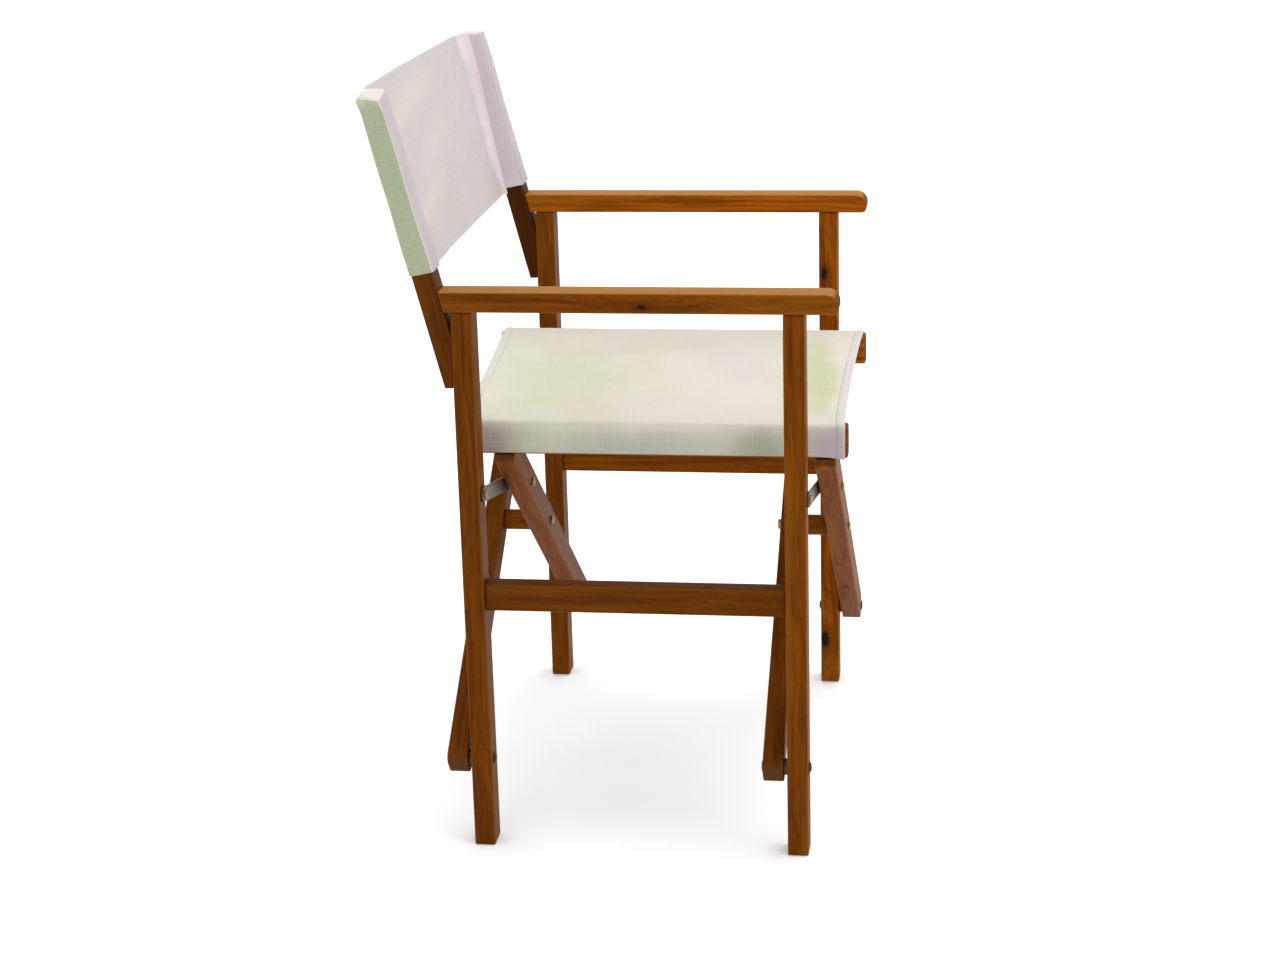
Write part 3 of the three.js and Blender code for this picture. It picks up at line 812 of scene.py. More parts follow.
def plank_shape(side, low, high):
    """Front view of a crossed leg with its top on the given side.

    Its centre line runs through the lower pivot and the crossing, turned by the lean; the
    top is cut level and clipped to the rail's outer face.
    """
    s, c = math.sin(PLANK_LEAN), math.cos(PLANK_LEAN)
    half, tail = 16.5 * MM, (8.0 if side == RIGHT else 13.5) * MM
    pivot = np.array([-LOWER_PIVOT[0], LOWER_PIVOT[2]])
    up, out = np.array([-s, c]), np.array([c, s])
    rail_face, top = low[0] if side == RIGHT else -high[0], high[2]
    upper = (top - pivot[1] - half * s) / c
    lower = (pivot[0] - rail_face - half * c) / s
    corners = np.array(
        [
            pivot - tail * up + half * out,
            pivot + upper * up + half * out,
            (rail_face, top),
            pivot + lower * up - half * out,
            pivot - tail * up - half * out,
        ]
    )
    radii = np.array([10, 0.8, 1.5, 3, 10]) * MM
    if side == RIGHT:
        return corners, radii
    return corners[::-1] * (-1, 1), radii[::-1]


class CHAIR_OT_crossed_legs(bpy.types.Operator):
    """The four crossed legs and the two seat rails they carry"""

    bl_idname = "chair.crossed_legs"
    bl_label = "Crossed legs"

    def execute(self, context):
        for label, side in SIDES.items():
            body = f"{label}_rail_frame"
            grain = (side * math.sin(PLANK_LEAN), 0, math.cos(PLANK_LEAN))
            for end in ENDS:
                node = f"{label}_rail_{end}_leg"
                low, high = span(node)
                shape = plank_shape(side, low, high)
                more = (ACROSS_Y, grain, body, TONES[node])
                timber_piece(node, shape, low[1], high[1], *more, arc=9)
            node = f"{label}_seat_rail"
            low, high = span(node)
            shape = oblong(low, high, 1, 2), 3 * MM
            more = (ACROSS_X, Y_AXIS, body, TONES[node])
            timber_piece(node, shape, low[0], high[0], *more, fillet=timber().rail)
        return {"FINISHED"}


# ---------- fittings ----------
def dome(radius, height, steps=8):
    """Profile of a domed head from its rim to its crown: R cos t, H sin t over t, with a
    short upright rim."""
    t = np.linspace(0, math.pi / 2, steps)
    rim = 0.35 * height
    rows = np.stack([radius * np.cos(t), rim + (height - rim) * np.sin(t)], 1)
    rows[-1, 0] = 0
    return [(radius * 0.97, 0.0), (radius, 0.08 * height), *map(tuple, rows)]


def bolt_profile(shank, rise, washer=False):
    """Shank, optional thin washer and domed head; the head's seat is at height 0."""
    r, lift, flange = metal().head, 0.0, []
    if washer:
        lift, wide, bevel = 0.8 * MM, 7 * MM, 0.2 * MM
        flange = [(wide - bevel, 0), (wide, bevel), (wide, lift - bevel), (wide - bevel, lift)]
    head = [(each, h + lift) for each, h in dome(r, rise - lift)]
    stem, ease = 3.0 * MM, 0.4 * MM
    return [(0, -shank), (stem - ease, -shank), (stem, ease - shank), (stem, 0), *flange, *head]


def fitting_piece(node, parts, slot, kind, body):
    """A metal piece that stands for its CAD node."""
    points, faces = join(parts)
    names = {"brass": "satin_brass", "steel": "plain_steel", "dark": "dark_brass"}
    material = fitting(names[kind], kind)
    made = piece(node + "_metal", points, faces, material)
    return hang(made, slot, body, node)


def bolt_axis(node):
    """Centre of a bolt's hole and the way its head points, from its CAD node."""
    low, high = span(node)
    points = node_points(node)
    centre = (low + high) / 2
    wide = np.hypot(points[:, 0] - centre[0], points[:, 2] - centre[2]) > 4.5 * MM
    to_head = np.sign(points[wide, 1].mean() - centre[1])
    return centre, to_head, low, high


def bolt(node, slot, kind, body, washer=False):
    """A domed bolt in the place of its CAD node."""
    centre, way, low, high = bolt_axis(node)
    rise = 2.8 * MM if washer else 3.0 * MM
    crown = high[1] if way > 0 else low[1]
    shank = high[1] - low[1] - rise
    seat = (centre[0], crown - way * rise, centre[2])
    parts = [turned(bolt_profile(shank, rise, washer), seat, way * Y_AXIS)]
    return fitting_piece(node, parts, slot, kind, body)


def nut(node, slot, kind, body):
    """A hexagonal nut with a chamfered outer face."""
    low, high = span(node)
    centre = (low + high) / 2
    r = (high[0] - low[0]) / 2
    h = high[1] - low[1]
    c = min(0.5 * MM, h / 4)
    profile = [(0, 0), (r - c, 0), (r, c), (r, h - c), (r - 1.6 * c, h), (0, h)]
    base = (centre[0], low[1], centre[2])
    return fitting_piece(node, [turned(profile, base, Y_AXIS, sides=48, flats=6)], slot, kind, body)


def ring_piece(node, slot, kind, body):
    """A spacer washer: a flat ring with eased rims, closed over the bolt."""
    low, high = span(node)
    centre = (low + high) / 2
    r, h, c = (high[0] - low[0]) / 2, high[1] - low[1], 0.5 * MM
    profile = [(0, 0), (r - c, 0), (r, c), (r, h - c), (r - c, h), (0, h)]
    base = (centre[0], low[1], centre[2])
    return fitting_piece(node, [turned(profile, base, Y_AXIS)], slot, kind, body)


class CHAIR_OT_pivots(bpy.types.Operator):
    """Lower pivots: washer-headed bolt, spacer washer and nut at each upright"""

    bl_idname = "chair.pivots"
    bl_label = "Lower pivots"

    def execute(self, context):
        for label in SIDES:
            body = f"{label}_frame"
            for end in ENDS:
                corner = f"{label}_{end}"
                bolt(f"{corner}_pivot_bolt", "dark_metal", "dark", body, washer=True)
                ring_piece(f"{corner}_pivot_spacer", "dark_metal", "dark", body)
                nut(f"{corner}_pivot_nut", "dark_metal", "dark", body)
        return {"FINISHED"}


class CHAIR_OT_crossings(bpy.types.Operator):
    """Crossing pivots: bolt, round wooden spacer and nut, front and back"""

    bl_idname = "chair.crossings"
    bl_label = "Crossing pivots"

    def execute(self, context):
        body = "right_rail_frame"
        for end in ENDS:
            bolt(f"{end}_crossing_bolt", "brass", "brass", body)
            nut(f"{end}_crossing_nut", "brass", "brass", body)
            self.spacer(f"{end}_crossing_spacer", body)
        return {"FINISHED"}

    def spacer(self, node, body):
        """A turned wooden roller with eased ends."""
        low, high = span(node)
        centre = (low + high) / 2
        r, h, c = (high[0] - low[0]) / 2, high[1] - low[1], 1.2 * MM
        profile = [(0, 0), (r - c, 0), (r - 0.3 * c, 0.3 * c), (r, c), (r, h - c)]
        profile += [(r - 0.3 * c, h - 0.3 * c), (r - c, h), (0, h)]
        points, faces = turned(profile, (centre[0], low[1], centre[2]), Y_AXIS)
        ends = (np.abs(points[:, 1] - centre[1]) > h / 2 - 0.2 * MM).astype(float)
        outward = np.stack([np.zeros(len(points)), ends, np.zeros(len(points))], 1)
        values = timber_values(node, points, outward, np.zeros(len(points)), Y_AXIS, 0.2)
        made = piece(node + "_timber", points, faces, oiled_wood(), values)
        hang(made, "wood", body, node)


class CHAIR_OT_strap_links(bpy.types.Operator):
    """Flat strap links between the uprights and the crossed legs, with their bolts"""

    bl_idname = "chair.strap_links"
    bl_label = "Strap links"

    def execute(self, context):
        for label, side in SIDES.items():
            for end in ENDS:
                corner = f"{label}_{end}"
                self.strap(f"{corner}_strap", side, f"{label}_straps")
                self.rivet(f"{corner}_strap_rivet", f"{label}_straps")
                bolt(f"{corner}_strap_upright_bolt", "brass", "brass", f"{label}_frame")
                bolt(f"{corner}_strap_leg_bolt", "brass", "brass", f"{label}_rail_frame")
        return {"FINISHED"}

    def strap(self, node, side, body):
        """A bar with half-round ends about its two pivots."""
        low, high = span(node)
        rivet_low, rivet_high = span(node + "_rivet")
        first = np.array([side * -STRAP_PIVOT[0], STRAP_PIVOT[2]])
        second = ((rivet_low + rivet_high) / 2)[[0, 2]]
        r = 8.5 * MM
        ahead = unit(second - first) * r
        aside = np.array([ahead[1], -ahead[0]])
        ends = [first - ahead + aside, second + ahead + aside]
        ends += [second + ahead - aside, first - ahead - aside]
        points, faces, _, _ = board(ends, 0.999 * r, low[1], high[1], 0.35 * MM, ACROSS_Y, 14)
        fitting_piece(node, [(points, faces)], "steel", "steel", body)

    def rivet(self, node, body):
        """A flat-headed rivet through the strap's outer end."""
        low, high = span(node)
        centre = (low + high) / 2
        r, h, c = 5 * MM, high[1] - low[1], 0.3 * MM
        profile = [(0, 0), (r - c, 0), (r, c), (r, 0.8 * MM), (3 * MM, 1 * MM)]
        profile += [(3 * MM, h - 1 * MM), (r, h - 0.8 * MM), (r, h - c), (r - c, h), (0, h)]
        base = (centre[0], low[1], centre[2])
        fitting_piece(node, [turned(profile, base, Y_AXIS)], "steel", "steel", body)


class CHAIR_OT_post_screws(bpy.types.Operator):
    """Dome-headed screws that hold the posts to the uprights"""

    bl_idname = "chair.post_screws"
    bl_label = "Post screws"

    def execute(self, context):
        for label in SIDES:
            for place in ("lower", "upper"):
                self.screw(f"{label}_post_screw_{place}", f"{label}_frame")
        return {"FINISHED"}

    def screw(self, node, body):
        """Pointed stem and low domed head, pointing back."""
        low, high = span(node)
        centre = (low + high) / 2
        head = 1.9 * MM
        stem = high[1] - low[1] - head
        rows = [(0, -stem), (1.9 * MM, 3 * MM - stem), (1.9 * MM, 0)]
        rows += dome(4.2 * MM, head)
        base = (centre[0], high[1] - head, centre[2])
        fitting_piece(node, [turned(rows, base, Y_AXIS)], "steel", "steel", body)


# ---------- canvas ----------
def finish_cloth(made, thickness):
    """Gives a one-sided cloth surface its thickness, inwards."""
    solid = made.modifiers.new("Cloth thickness", "SOLIDIFY")
    solid.thickness = thickness
    solid.offset = -1
    return made


def edge_y(node, side):
    """Front and back Y of the seat cloth over the rail on a side."""
    points = node_points(node)
    y = points[points[:, 0] * side > 0.2, 1]
    return y.min(), y.max()


def seat_section():
    """Across the seat from the right flap's hem to the left one's: X, Z and normal.

    Half of it is a parabola z = top - sag (1 - (x / w)^2)^2 between the rails, a quarter arc
    over the rail's outer corner and a straight flap; the other half is its mirror image.
    """
    low, high = span("seat_canvas")
    inner, r = span("left_seat_rail")[0][0], 6.0 * MM
    out, top = high[0], high[2]
    x = np.concatenate([np.linspace(0, inner * 0.9, 34), np.linspace(inner * 0.92, out - r, 12)])
    dip = np.clip(1 - (x / inner) ** 2, 0, None)
    z = top - cloth().sag * dip * dip
    slope = np.gradient(z, x)
    flat_n = unit(np.stack([-slope, np.ones_like(x)], 1))
    t = np.linspace(0, math.pi / 2, 9)[1:]
    arc = np.stack([out - r + r * np.sin(t), top - r + r * np.cos(t)], 1)
    arc_n = np.stack([np.sin(t), np.cos(t)], 1)
    down = np.linspace(top - r, low[2], 14)[1:]
    flap = np.stack([np.full_like(down, out), down], 1)
    flap_n = np.tile([1.0, 0.0], (len(down), 1))
    half = np.concatenate([np.stack([x, z], 1), arc, flap])
    half_n = np.concatenate([flat_n, arc_n, flap_n])
    mirror = np.array([-1, 1])
    points = np.concatenate([half[:0:-1] * mirror, half])
    normals = np.concatenate([half_n[:0:-1] * mirror, half_n])
    return points, normals


def along(points):
    """Running length of a line of points, from 0."""
    return np.concatenate([[0], np.cumsum(np.linalg.norm(np.diff(points, axis=0), axis=1))])


def hem_profile(hem, thick, rows):
    """From the end of one turned-under hem, round the fold, over the cloth to the other:
    distance from the nearer edge, offset below the cloth, and which edge it is measured from.
    """
    r = thick * 1.4
    t = np.linspace(0, math.pi, 7)
    under = np.linspace(hem, r, 6)
    fold = r - r * np.sin(t)
    drop = -r * (1 + np.cos(t))
    near = np.array([0.6, 1.5, 3, 6, 8, 9, 9.6, 10, 10.4, 11, 12.5, 15, 19, 24]) * MM + r
    d = np.concatenate([under[:-1], fold, near])
    o = np.concatenate([np.full(5, -2 * r), drop, np.zeros(len(near))])
    middle = np.linspace(0, 1, rows + 2)[1:-1]
    return d, o, middle


class CHAIR_OT_seat_canvas(bpy.types.Operator):
    """Canvas seat over the rails, with hems, flaps and stitching"""

    bl_idname = "chair.seat_canvas"
    bl_label = "Seat canvas"

    def execute(self, context):
        section, normal = seat_section()
        d, o, middle = hem_profile(cloth().hem, cloth().thickness, 46)
        x, high_z = section[:, 0], section[:, 1].max()
        front, back = self.edges(x)
        near = front[None] + d[:, None]
        far = (back[None] - d[:, None])[::-1]
        inside = near[-1] + (far[0] - near[-1]) * middle[:, None]
        y = np.concatenate([near, inside, far])
        offset = np.concatenate([o, np.zeros(len(middle)), o[::-1]])
        lift = self.relief(x, y, front, back, offset)
        points = np.empty((*y.shape, 3))
        total = offset[:, None] + lift
        points[..., 0] = section[None, :, 0] + total * normal[None, :, 0]
        points[..., 1] = y
        points[..., 2] = section[None, :, 1] + total * normal[None, :, 1]
        fall = np.clip((high_z - section[:, 1]) / (high_z - section[:, 1].min()), 0, 1) ** 2
        reach = 16 * MM
        corner = np.exp(-(((y - front) / reach) ** 2)) + 0.4 * np.exp(-(((back - y) / reach) ** 2))
        points[..., 2] -= 2.6 * MM * fall[None] * corner
        middle_x = len(x) // 2
        run = along(section)
        u = np.broadcast_to(run - run[middle_x], y.shape)
        deep = along(points[:, middle_x])
        v = np.broadcast_to((deep - deep[len(deep) // 2])[:, None], y.shape)
        v = v + y[len(y) // 2, middle_x] - MID_Y
        uv = np.stack([u, v], -1).reshape(-1, 2)
        # Painted shade on the flaps.
        cast = self.cast(section, y)
        faces = sheet_quads(*y.shape)
        values = {"cast": cast.ravel()}
        ground = canvas("seat_canvas", SEAT_CLOUDS)
        made = piece("seat_cloth", points.reshape(-1, 3), faces, ground, values, uv)
        finish_cloth(made, cloth().thickness)
        hang(made, "canvas", None, "seat_canvas")
        stitching = self.stitches(section, normal, front, back)
        self.bend(made)
        self.bend(stitching)
        return {"FINISHED"}

    def rails(self):
        return ["right_seat_rail_timber", "left_seat_rail_timber"]

    def edges(self, x):
        """Front and back edge over X: straight from rail to rail, bowed in between them."""
        right, left = edge_y("seat_canvas", RIGHT), edge_y("seat_canvas", LEFT)
        reach = np.abs(x).max()
        t = (x / reach + 1) / 2
        bow = cloth().bow * np.clip(1 - (x / reach) ** 2, 0, None)
        front = right[0] + (left[0] - right[0]) * t + bow
        back = right[1] + (left[1] - right[1]) * t - bow * 0.1
        return front, back

    def relief(self, x, y, front, back, offset):
        """Puffed hems, their seams and soft tension ripples, in metres above the cloth."""
        near = np.minimum(y - front, back - y)
        seam = np.exp(-(((near - 10 * MM) / (0.9 * MM)) ** 2))
        puff = np.sin(math.pi * np.clip(near / (10 * MM), 0, 1))
        hem = 0.7 * MM * puff - np.where(y - front < back - y, 0.5, 0.2) * MM * seam
        inner = np.clip(1 - np.abs(x) / (190 * MM), 0, 1)[None]
        free = step(0.0, 0.25, inner)
        pull = np.sin(y * 95 + 8 * x) + 0.6 * np.sin(y * 61 - 17 * x + 1.3)
        ripple = 0.35 * MM * pull * np.exp(-inner * 5) * free
        slack = np.sin(22 * x + 9 * y + 0.7) + np.sin(13 * x - 17 * y + 2.1)
        wave = 0.7 * MM * slack * free
        tuck = np.exp(-(((y - front - 17 * MM) / (2.2 * MM)) ** 2))
        tuck = -0.45 * MM * tuck * step(205 * MM, 212 * MM, np.abs(x))
        top = (offset == 0)[:, None]
        return np.where(top, hem + tuck + (ripple + wave) * step(0, 30 * MM, near), 0.0)

    def cast(self, section, y):
        """Painted shade on the flaps: a tint towards sage that fades in over the rail's edge."""
        drop = step(3 * MM, 14 * MM, section[:, 1].max() - section[:, 1])
        return 0.5 - 0.20 * np.broadcast_to(drop, y.shape)

    def stitches(self, section, normal, front, back):
        """Rows of sewing along both hems and along each flap."""
        pitch = cloth().stitch
        rows = []
        run = along(section)
        at = np.arange(2 * pitch, run[-1] - pitch, pitch)
        across = [np.interp(at, run, section[:, i]) for i in (0, 1)]
        out = unit(np.stack([np.interp(at, run, normal[:, i]) for i in (0, 1)], 1))
        ahead = unit(np.stack([np.gradient(across[0]), np.zeros(len(at)), np.gradient(across[1])], 1))
        lift = np.stack([out[:, 0], np.zeros(len(at)), out[:, 1]], 1)
        for edge, way in ((front, 1), (back, -1)):
            y = np.interp(at, run, edge) + way * 10 * MM
            centre = np.stack([across[0], y, across[1]], 1) - 0.05 * MM * lift
            rows.append(stitch_row(centre, ahead, lift, pitch * 0.62))
        low = section[:, 1].min()
        for side in (RIGHT, LEFT):
            index = 0 if side == RIGHT else -1
            y = np.arange(front[index] + 4 * MM, back[index] - 3 * MM, 2.3 * MM)
            centre = np.stack([np.full_like(y, section[index, 0]), y, np.full_like(y, low + 12 * MM)], 1)
            lift = np.tile([float(side), 0, 0], (len(y), 1))
            ahead = unit(np.tile([0, 0.25, 1.0], (len(y), 1)))
            rows.append(stitch_row(centre + 0.05 * MM * lift, ahead, lift, 2.6 * MM))
        points, faces = join(rows)
        made = piece("seat_stitching", points, faces, sewing_thread())
        return made

    def bend(self, made):
        """Bakes the piece's placement into its mesh."""
        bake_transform(made)


def stitch_row(centre, ahead, lift, size):
    """Stitches as small spindles: radius R sin(pi t) along t, squashed on to the cloth."""
    t = np.linspace(0, 1, 5)
    a = np.linspace(0, 2 * math.pi, 6, endpoint=False)
    side = np.cross(ahead, lift)
    swell = 0.34 * MM * np.sqrt(np.clip(np.sin(math.pi * t), 0.02, 1))
    run = (t - 0.5) * size
    ringed = np.cos(a)[:, None, None] * side + 0.8 * np.sin(a)[:, None, None] * lift
    rows = centre + run[:, None, None, None] * ahead + swell[:, None, None, None] * ringed
    rows = rows.transpose(2, 0, 1, 3)
    one = ring_quads(len(t), len(a))
    caps = [np.arange(6)[::-1], np.arange(6) + 6 * (len(t) - 1)]
    shift = np.arange(len(centre)) * len(t) * len(a)
    quads = (one[None] + shift[:, None, None]).reshape(-1, 4)
    ends = [cap + k for k in shift for cap in caps]
    return rows.reshape(-1, 3), [*quads, *ends]


class CHAIR_OT_back_canvas(bpy.types.Operator):
    """Canvas back: a panel between the posts and a closed sleeve over each post"""

    bl_idname = "chair.back_canvas"
    bl_label = "Back canvas"

    def execute(self, context):
        for label, side in SIDES.items():
            self.sleeve(label, side)
        self.panel()
        return {"FINISHED"}

    def sleeve(self, label, side):
        """A rounded section carried up the post, hemmed below and closed above.

        The hem runs up inside the section. Over the top the section is drawn in by
        r (1 - cos t) while it rises by r sin t, then drawn in level until it closes.
        """
        node = f"{label}_canvas_sleeve"
        low, high = span(node)
        foot_z, foot_y, lean, depth = post_lines(label)
        half_x, half_y = (high[0] - low[0]) / 2, depth / 2 + 1.8 * MM
        mid_x, top, r = (high[0] + low[0]) / 2, high[2], 3 * MM
        t = np.linspace(0, math.pi / 2, 6)[1:]
        close = np.linspace(r, half_y - 0.6 * MM, 9)[1:]
        inside = 1.1 * MM
        hem_in = [inside, inside, 0.5 * inside]
        inset = np.concatenate([hem_in, np.zeros(60), r * (1 - np.cos(t)), close])
        rise = low[2] + np.linspace(0.6 * MM, top - r - low[2], 60)
        hem = low[2] + np.array([12, 0.6, 0]) * MM
        z = np.concatenate([hem, rise, top - r + r * np.sin(t), np.full(8, top)])
        shape = [(-half_x, -half_y), (half_x, -half_y), (half_x, half_y), (-half_x, half_y)]
        plane, normal = rings(shape, 3 * MM, inset, 7)
        rows, columns = plane.shape[:2]
        ahead = plane[..., 1] / half_y
        skew = 2.75 * MM * (1 - ahead) * (1 - step(0, 60 * MM, z - low[2]))[:, None]
        grid = np.empty((rows, columns, 3))
        grid[..., 0] = mid_x + plane[..., 0]
        grid[..., 1] = (foot_y + (z - foot_z) * lean - depth / 2)[:, None] + plane[..., 1]
        grid[..., 2] = z[:, None] + skew
        grid[..., 2] -= self.slump(label, plane, half_x, half_y) * step(-24 * MM, 0, z - top)[:, None]
        grid[..., 2] += self.top_fold(side, plane, half_x) * (inset > r * 0.9)[:, None]
        body = step(0, 20 * MM, z - low[2]) * (inset == 0)
        crumple = 0.3 * MM * np.sin(70 * z[:, None] + 160 * plane[..., 0]) * body[:, None]
        grid[..., :2] += crumple[..., None] * normal[None]
        around = along(np.concatenate([plane[3], plane[3, :1]]))
        deep = along(np.stack([inset, z], 1))
        uv = np.stack(np.broadcast_arrays(around[None, :-1] + 1.0, deep[:, None]), -1)
        # Painted shade on the sleeves' outer faces (towards sage) and painted reflection on their fronts
        # (towards mauve); the closed top stays plain.
        outer = step(0.5, 0.75, normal[:, 0] * side)
        front = step(0.4, 0.65, -normal[:, 1])
        cast = np.broadcast_to(0.5 - 0.44 * outer + 0.44 * front, (rows, columns)).copy()
        cast[inset > r * 0.5] = 0.5
        faces = [*ring_quads(rows, columns), np.arange(columns) + (rows - 1) * columns]
        ground = canvas("sleeve_canvas", SLEEVE_CLOUDS)
        points = grid.reshape(-1, 3)
        values = {"cast": cast.ravel()}
        made = piece(f"{label}_sleeve_cloth", points, faces, ground, values, uv.reshape(-1, 2))
        finish_cloth(made, cloth().thickness)
        hang(made, "canvas", f"{label}_frame", node)

    def slump(self, label, plane, half_x, half_y):
        """How far the closed top sinks: most at its outer front corner, less at the back."""
        across = np.clip(plane[..., 0] * SIDES[label] / half_x, 0, 1)
        ahead = plane[..., 1] / half_y
        front = across * (0.62 - 0.38 * ahead)
        back = 0.75 * across * step(0.2, 1.0, ahead)
        return (9.0 if label == "right" else 1.8) * MM * np.maximum(front, back)

    def top_fold(self, side, plane, half_x):
        """A soft ridge of folded cloth running back over the top."""
        across = plane[..., 0] * side / half_x
        ridge = (across + 0.05 - 0.45 * plane[..., 1] / half_x) / 0.2
        return 0.9 * MM * np.exp(-(ridge**2))

    def panel(self):
        """The stretched panel: a leaning plane, slightly hollow, with an arc to each sleeve.

        Across each half it runs straight to the arc's start, then turns forward by a
        quarter arc of radius R to lie along the sleeve; R grows with height.
        """
        low, high = span("back_canvas_panel")
        tops = [span(f"{label}_canvas_sleeve")[1][2] for label in SIDES]
        foot_z, foot_y, lean, _ = post_lines("right")
        d, o, middle = hem_profile(cloth().hem * 0.8, cloth().thickness, 30)
        tall = np.mean(tops) - low[2]
        inside = low[2] + d[-1] + (tall - 2 * d[-1]) * middle
        z = np.concatenate([low[2] + d, inside, (low[2] + tall - d)[::-1]])
        offset = np.concatenate([o, np.zeros(len(middle)), o[::-1]])[:, None]
        reach = high[0] - 0.2 * MM
        radius = (4 + 9 * step(low[2], low[2] + tall, z))[:, None] * MM
        share = np.sin(np.linspace(0, math.pi / 2, 34))[None]
        t = np.linspace(0, math.pi / 2, 9)[None, 1:]
        flat_x = share * (reach - radius)
        arc_x = reach - radius + (radius - offset) * np.sin(t)
        arc_y = -(radius - (radius - offset) * np.cos(t))
        half_x = np.concatenate([flat_x, arc_x], 1)
        half_y = np.concatenate([flat_x * 0 - offset, arc_y], 1)
        x = np.concatenate([-half_x[:, :0:-1], half_x], 1)
        forward = np.concatenate([half_y[:, :0:-1], half_y], 1)
        rise = np.interp(x, [-reach, reach], np.array(tops) - low[2]) / tall
        zz = low[2] + (z[:, None] - low[2]) * rise
        edge = np.clip(1 - (x / (reach - radius)) ** 2, 0, 1)
        pleat = np.sin(46 * x + 6 * zz) + 0.7 * np.sin(83 * x - 9 * zz + 1.0)
        diagonal = np.sin(60 * (zz - 0.75) - 16 * x + 0.8)
        hollow = 2.5 * MM * edge + (0.35 * pleat + 0.45 * diagonal) * MM * edge
        near = np.minimum(z - low[2], low[2] + tall - z)[:, None]
        seam = 0.4 * MM * np.exp(-(((near - 8 * MM) / (0.9 * MM)) ** 2)) * (offset == 0)
        y = foot_y + (zz - foot_z) * lean + 1.0 * MM + hollow + seam + forward
        points = np.stack([x, y, zz], -1)
        centre = points[:, x.shape[1] // 2]
        deep = along(centre)
        uv = np.stack([x, np.broadcast_to(low[2] + deep[:, None] - 10 * MM, x.shape)], -1)
        cast = 0.5 + 0 * zz
        ground = canvas("back_canvas", BACK_CLOUDS)
        made = piece(
            "back_panel_cloth", points.reshape(-1, 3), sheet_quads(*x.shape), ground,
            {"cast": cast.ravel()}, uv.reshape(-1, 2),
        )
        finish_cloth(made, cloth().thickness)
        hang(made, "canvas", "right_frame", "back_canvas_panel")
        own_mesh(made)


# ---------- stage ----------
CAMERA_PLACE = (-2.962, MID_Y - 0.3999, 1.280)
CAMERA_YAW, CAMERA_PITCH, CAMERA_ROLL = 0.144, 0.302, -0.027


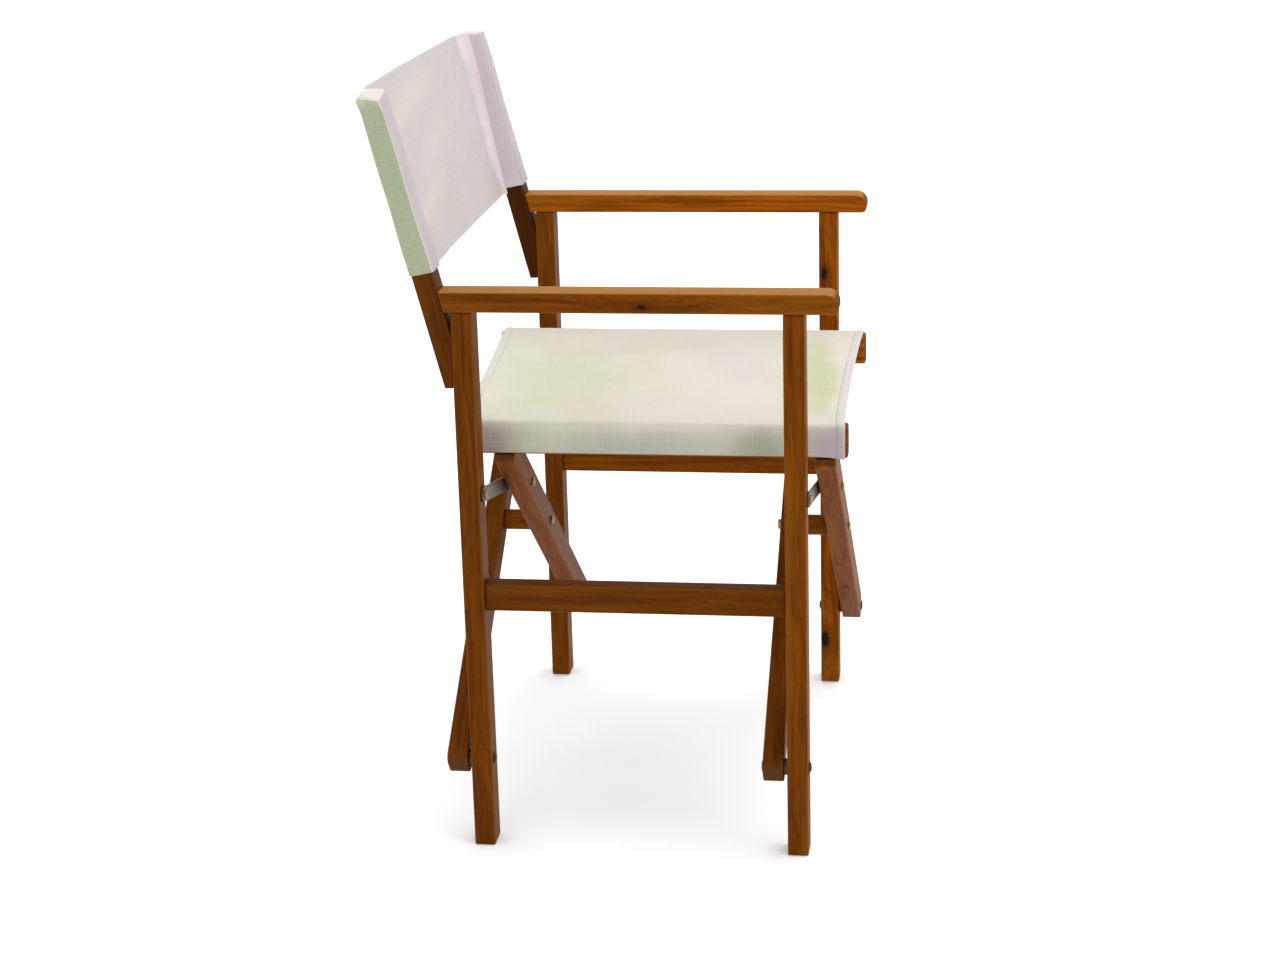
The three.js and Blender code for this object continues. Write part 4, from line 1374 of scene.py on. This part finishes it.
class CHAIR_OT_stage(bpy.types.Operator):
    """Plain floor, soft lights and the camera"""

    bl_idname = "chair.stage"
    bl_label = "Stage"

    def execute(self, context):
        self.camera(context)
        self.floor()
        self.surround(context)
        self.sun(context)
        return {"FINISHED"}

    def camera(self, context):
        """Looks along +X turned by the yaw, tipped down by the pitch and rolled."""
        yaw, pitch, roll = CAMERA_YAW, CAMERA_PITCH, CAMERA_ROLL
        ahead = Vector(
            (math.cos(yaw) * math.cos(pitch), math.sin(yaw) * math.cos(pitch), -math.sin(pitch))
        )
        right = ahead.cross(Vector((0, 0, 1))).normalized()
        above = right.cross(ahead)
        side = math.cos(roll) * right + math.sin(roll) * above
        top = -math.sin(roll) * right + math.cos(roll) * above
        data = bpy.data.cameras.new("camera")
        data.lens = context.scene.chair_stage.lens
        data.sensor_width = 36
        data.clip_end = 50
        made = bpy.data.objects.new("camera", data)
        turn = Matrix((side, top, -ahead)).transposed().to_4x4()
        made.matrix_world = Matrix.Translation(CAMERA_PLACE) @ turn
        context.scene.collection.objects.link(made)
        context.scene.camera = made

    def floor(self):
        """One wide plane under the feet."""
        reach = 30.0
        corners = np.array([(-1, -1, 0), (1, -1, 0), (1, 1, 0), (-1, 1, 0)]) * reach
        s = Shader("studio_floor")
        at = s.node("ShaderNodeTexCoord", {}, output=3)
        speck = s.noise(at, scale=3, detail=2)
        shade = bpy.context.scene.chair_stage.floor
        s.set(Base_Color=s.mix(speck * 0.04, shade, (1, 1, 1)), Roughness=0.9)
        s.set(Specular_IOR_Level=0.1, Emission_Color=(1, 1, 1, 1), Emission_Strength=0.11)
        piece("studio_floor", corners, [[0, 1, 2, 3]], s.material)

    def surround(self, context):
        """Even light from all round, a little weaker from -X."""
        stage = context.scene.chair_stage
        world = bpy.data.worlds.new("surround")
        world.use_nodes = True
        nodes, links = world.node_tree.nodes, world.node_tree.links
        way = nodes.new("ShaderNodeTexCoord")
        parts = nodes.new("ShaderNodeSeparateXYZ")
        ease = nodes.new("ShaderNodeMapRange")
        ease.interpolation_type = "SMOOTHSTEP"
        for index, value in enumerate((-0.9, 0.1, stage.near, stage.ambient), start=1):
            ease.inputs[index].default_value = value
        links.new(way.outputs["Generated"], parts.inputs[0])
        links.new(parts.outputs[0], ease.inputs[0])
        links.new(ease.outputs[0], nodes["Background"].inputs[1])
        nodes["Background"].inputs[0].default_value = (*stage.air, 1)
        context.scene.world = world
        context.scene.view_settings.view_transform = "Standard"

    def sun(self, context):
        """One broad light from above and ahead."""
        data = bpy.data.lights.new("overhead", "SUN")
        data.angle = math.radians(70)
        data.energy = context.scene.chair_stage.overhead
        made = bpy.data.objects.new("overhead", data)
        aim = Vector((-0.22, 0.30, -1.0))
        made.rotation_euler = aim.to_track_quat("-Z", "Y").to_euler()
        context.scene.collection.objects.link(made)


STEPS = (
    CHAIR_OT_stage,
    CHAIR_OT_side_frames,
    CHAIR_OT_back_posts,
    CHAIR_OT_crossed_legs,
    CHAIR_OT_pivots,
    CHAIR_OT_crossings,
    CHAIR_OT_strap_links,
    CHAIR_OT_post_screws,
    CHAIR_OT_seat_canvas,
    CHAIR_OT_back_canvas,
)
GROUPS = {
    "chair_timber": ChairTimber,
    "chair_cloth": ChairCloth,
    "chair_metal": ChairMetal,
    "chair_stage": ChairStage,
}


class CHAIR_PT_sidebar(bpy.types.Panel):
    """Lists the chair's pieces and their sizes"""

    bl_idname = "CHAIR_PT_sidebar"
    bl_label = "Director's chair"
    bl_space_type = "VIEW_3D"
    bl_region_type = "UI"
    bl_category = "Chair"

    def draw(self, context):
        for each in STEPS:
            self.layout.operator(each.bl_idname)
        for key, group in GROUPS.items():
            box = self.layout.box()
            for name in group.__annotations__:
                box.prop(getattr(context.scene, key), name)


def register():
    for each in (*GROUPS.values(), *STEPS, CHAIR_PT_sidebar):
        bpy.utils.register_class(each)
    for key, group in GROUPS.items():
        setattr(bpy.types.Scene, key, bpy.props.PointerProperty(type=group))


def unregister():
    for key in GROUPS:
        delattr(bpy.types.Scene, key)
    for each in reversed((*GROUPS.values(), *STEPS, CHAIR_PT_sidebar)):
        bpy.utils.unregister_class(each)


def main():
    register()
    for each in STEPS:
        group, name = each.bl_idname.split(".")
        getattr(getattr(bpy.ops, group), name)()


if __name__ == "__main__":
    main()
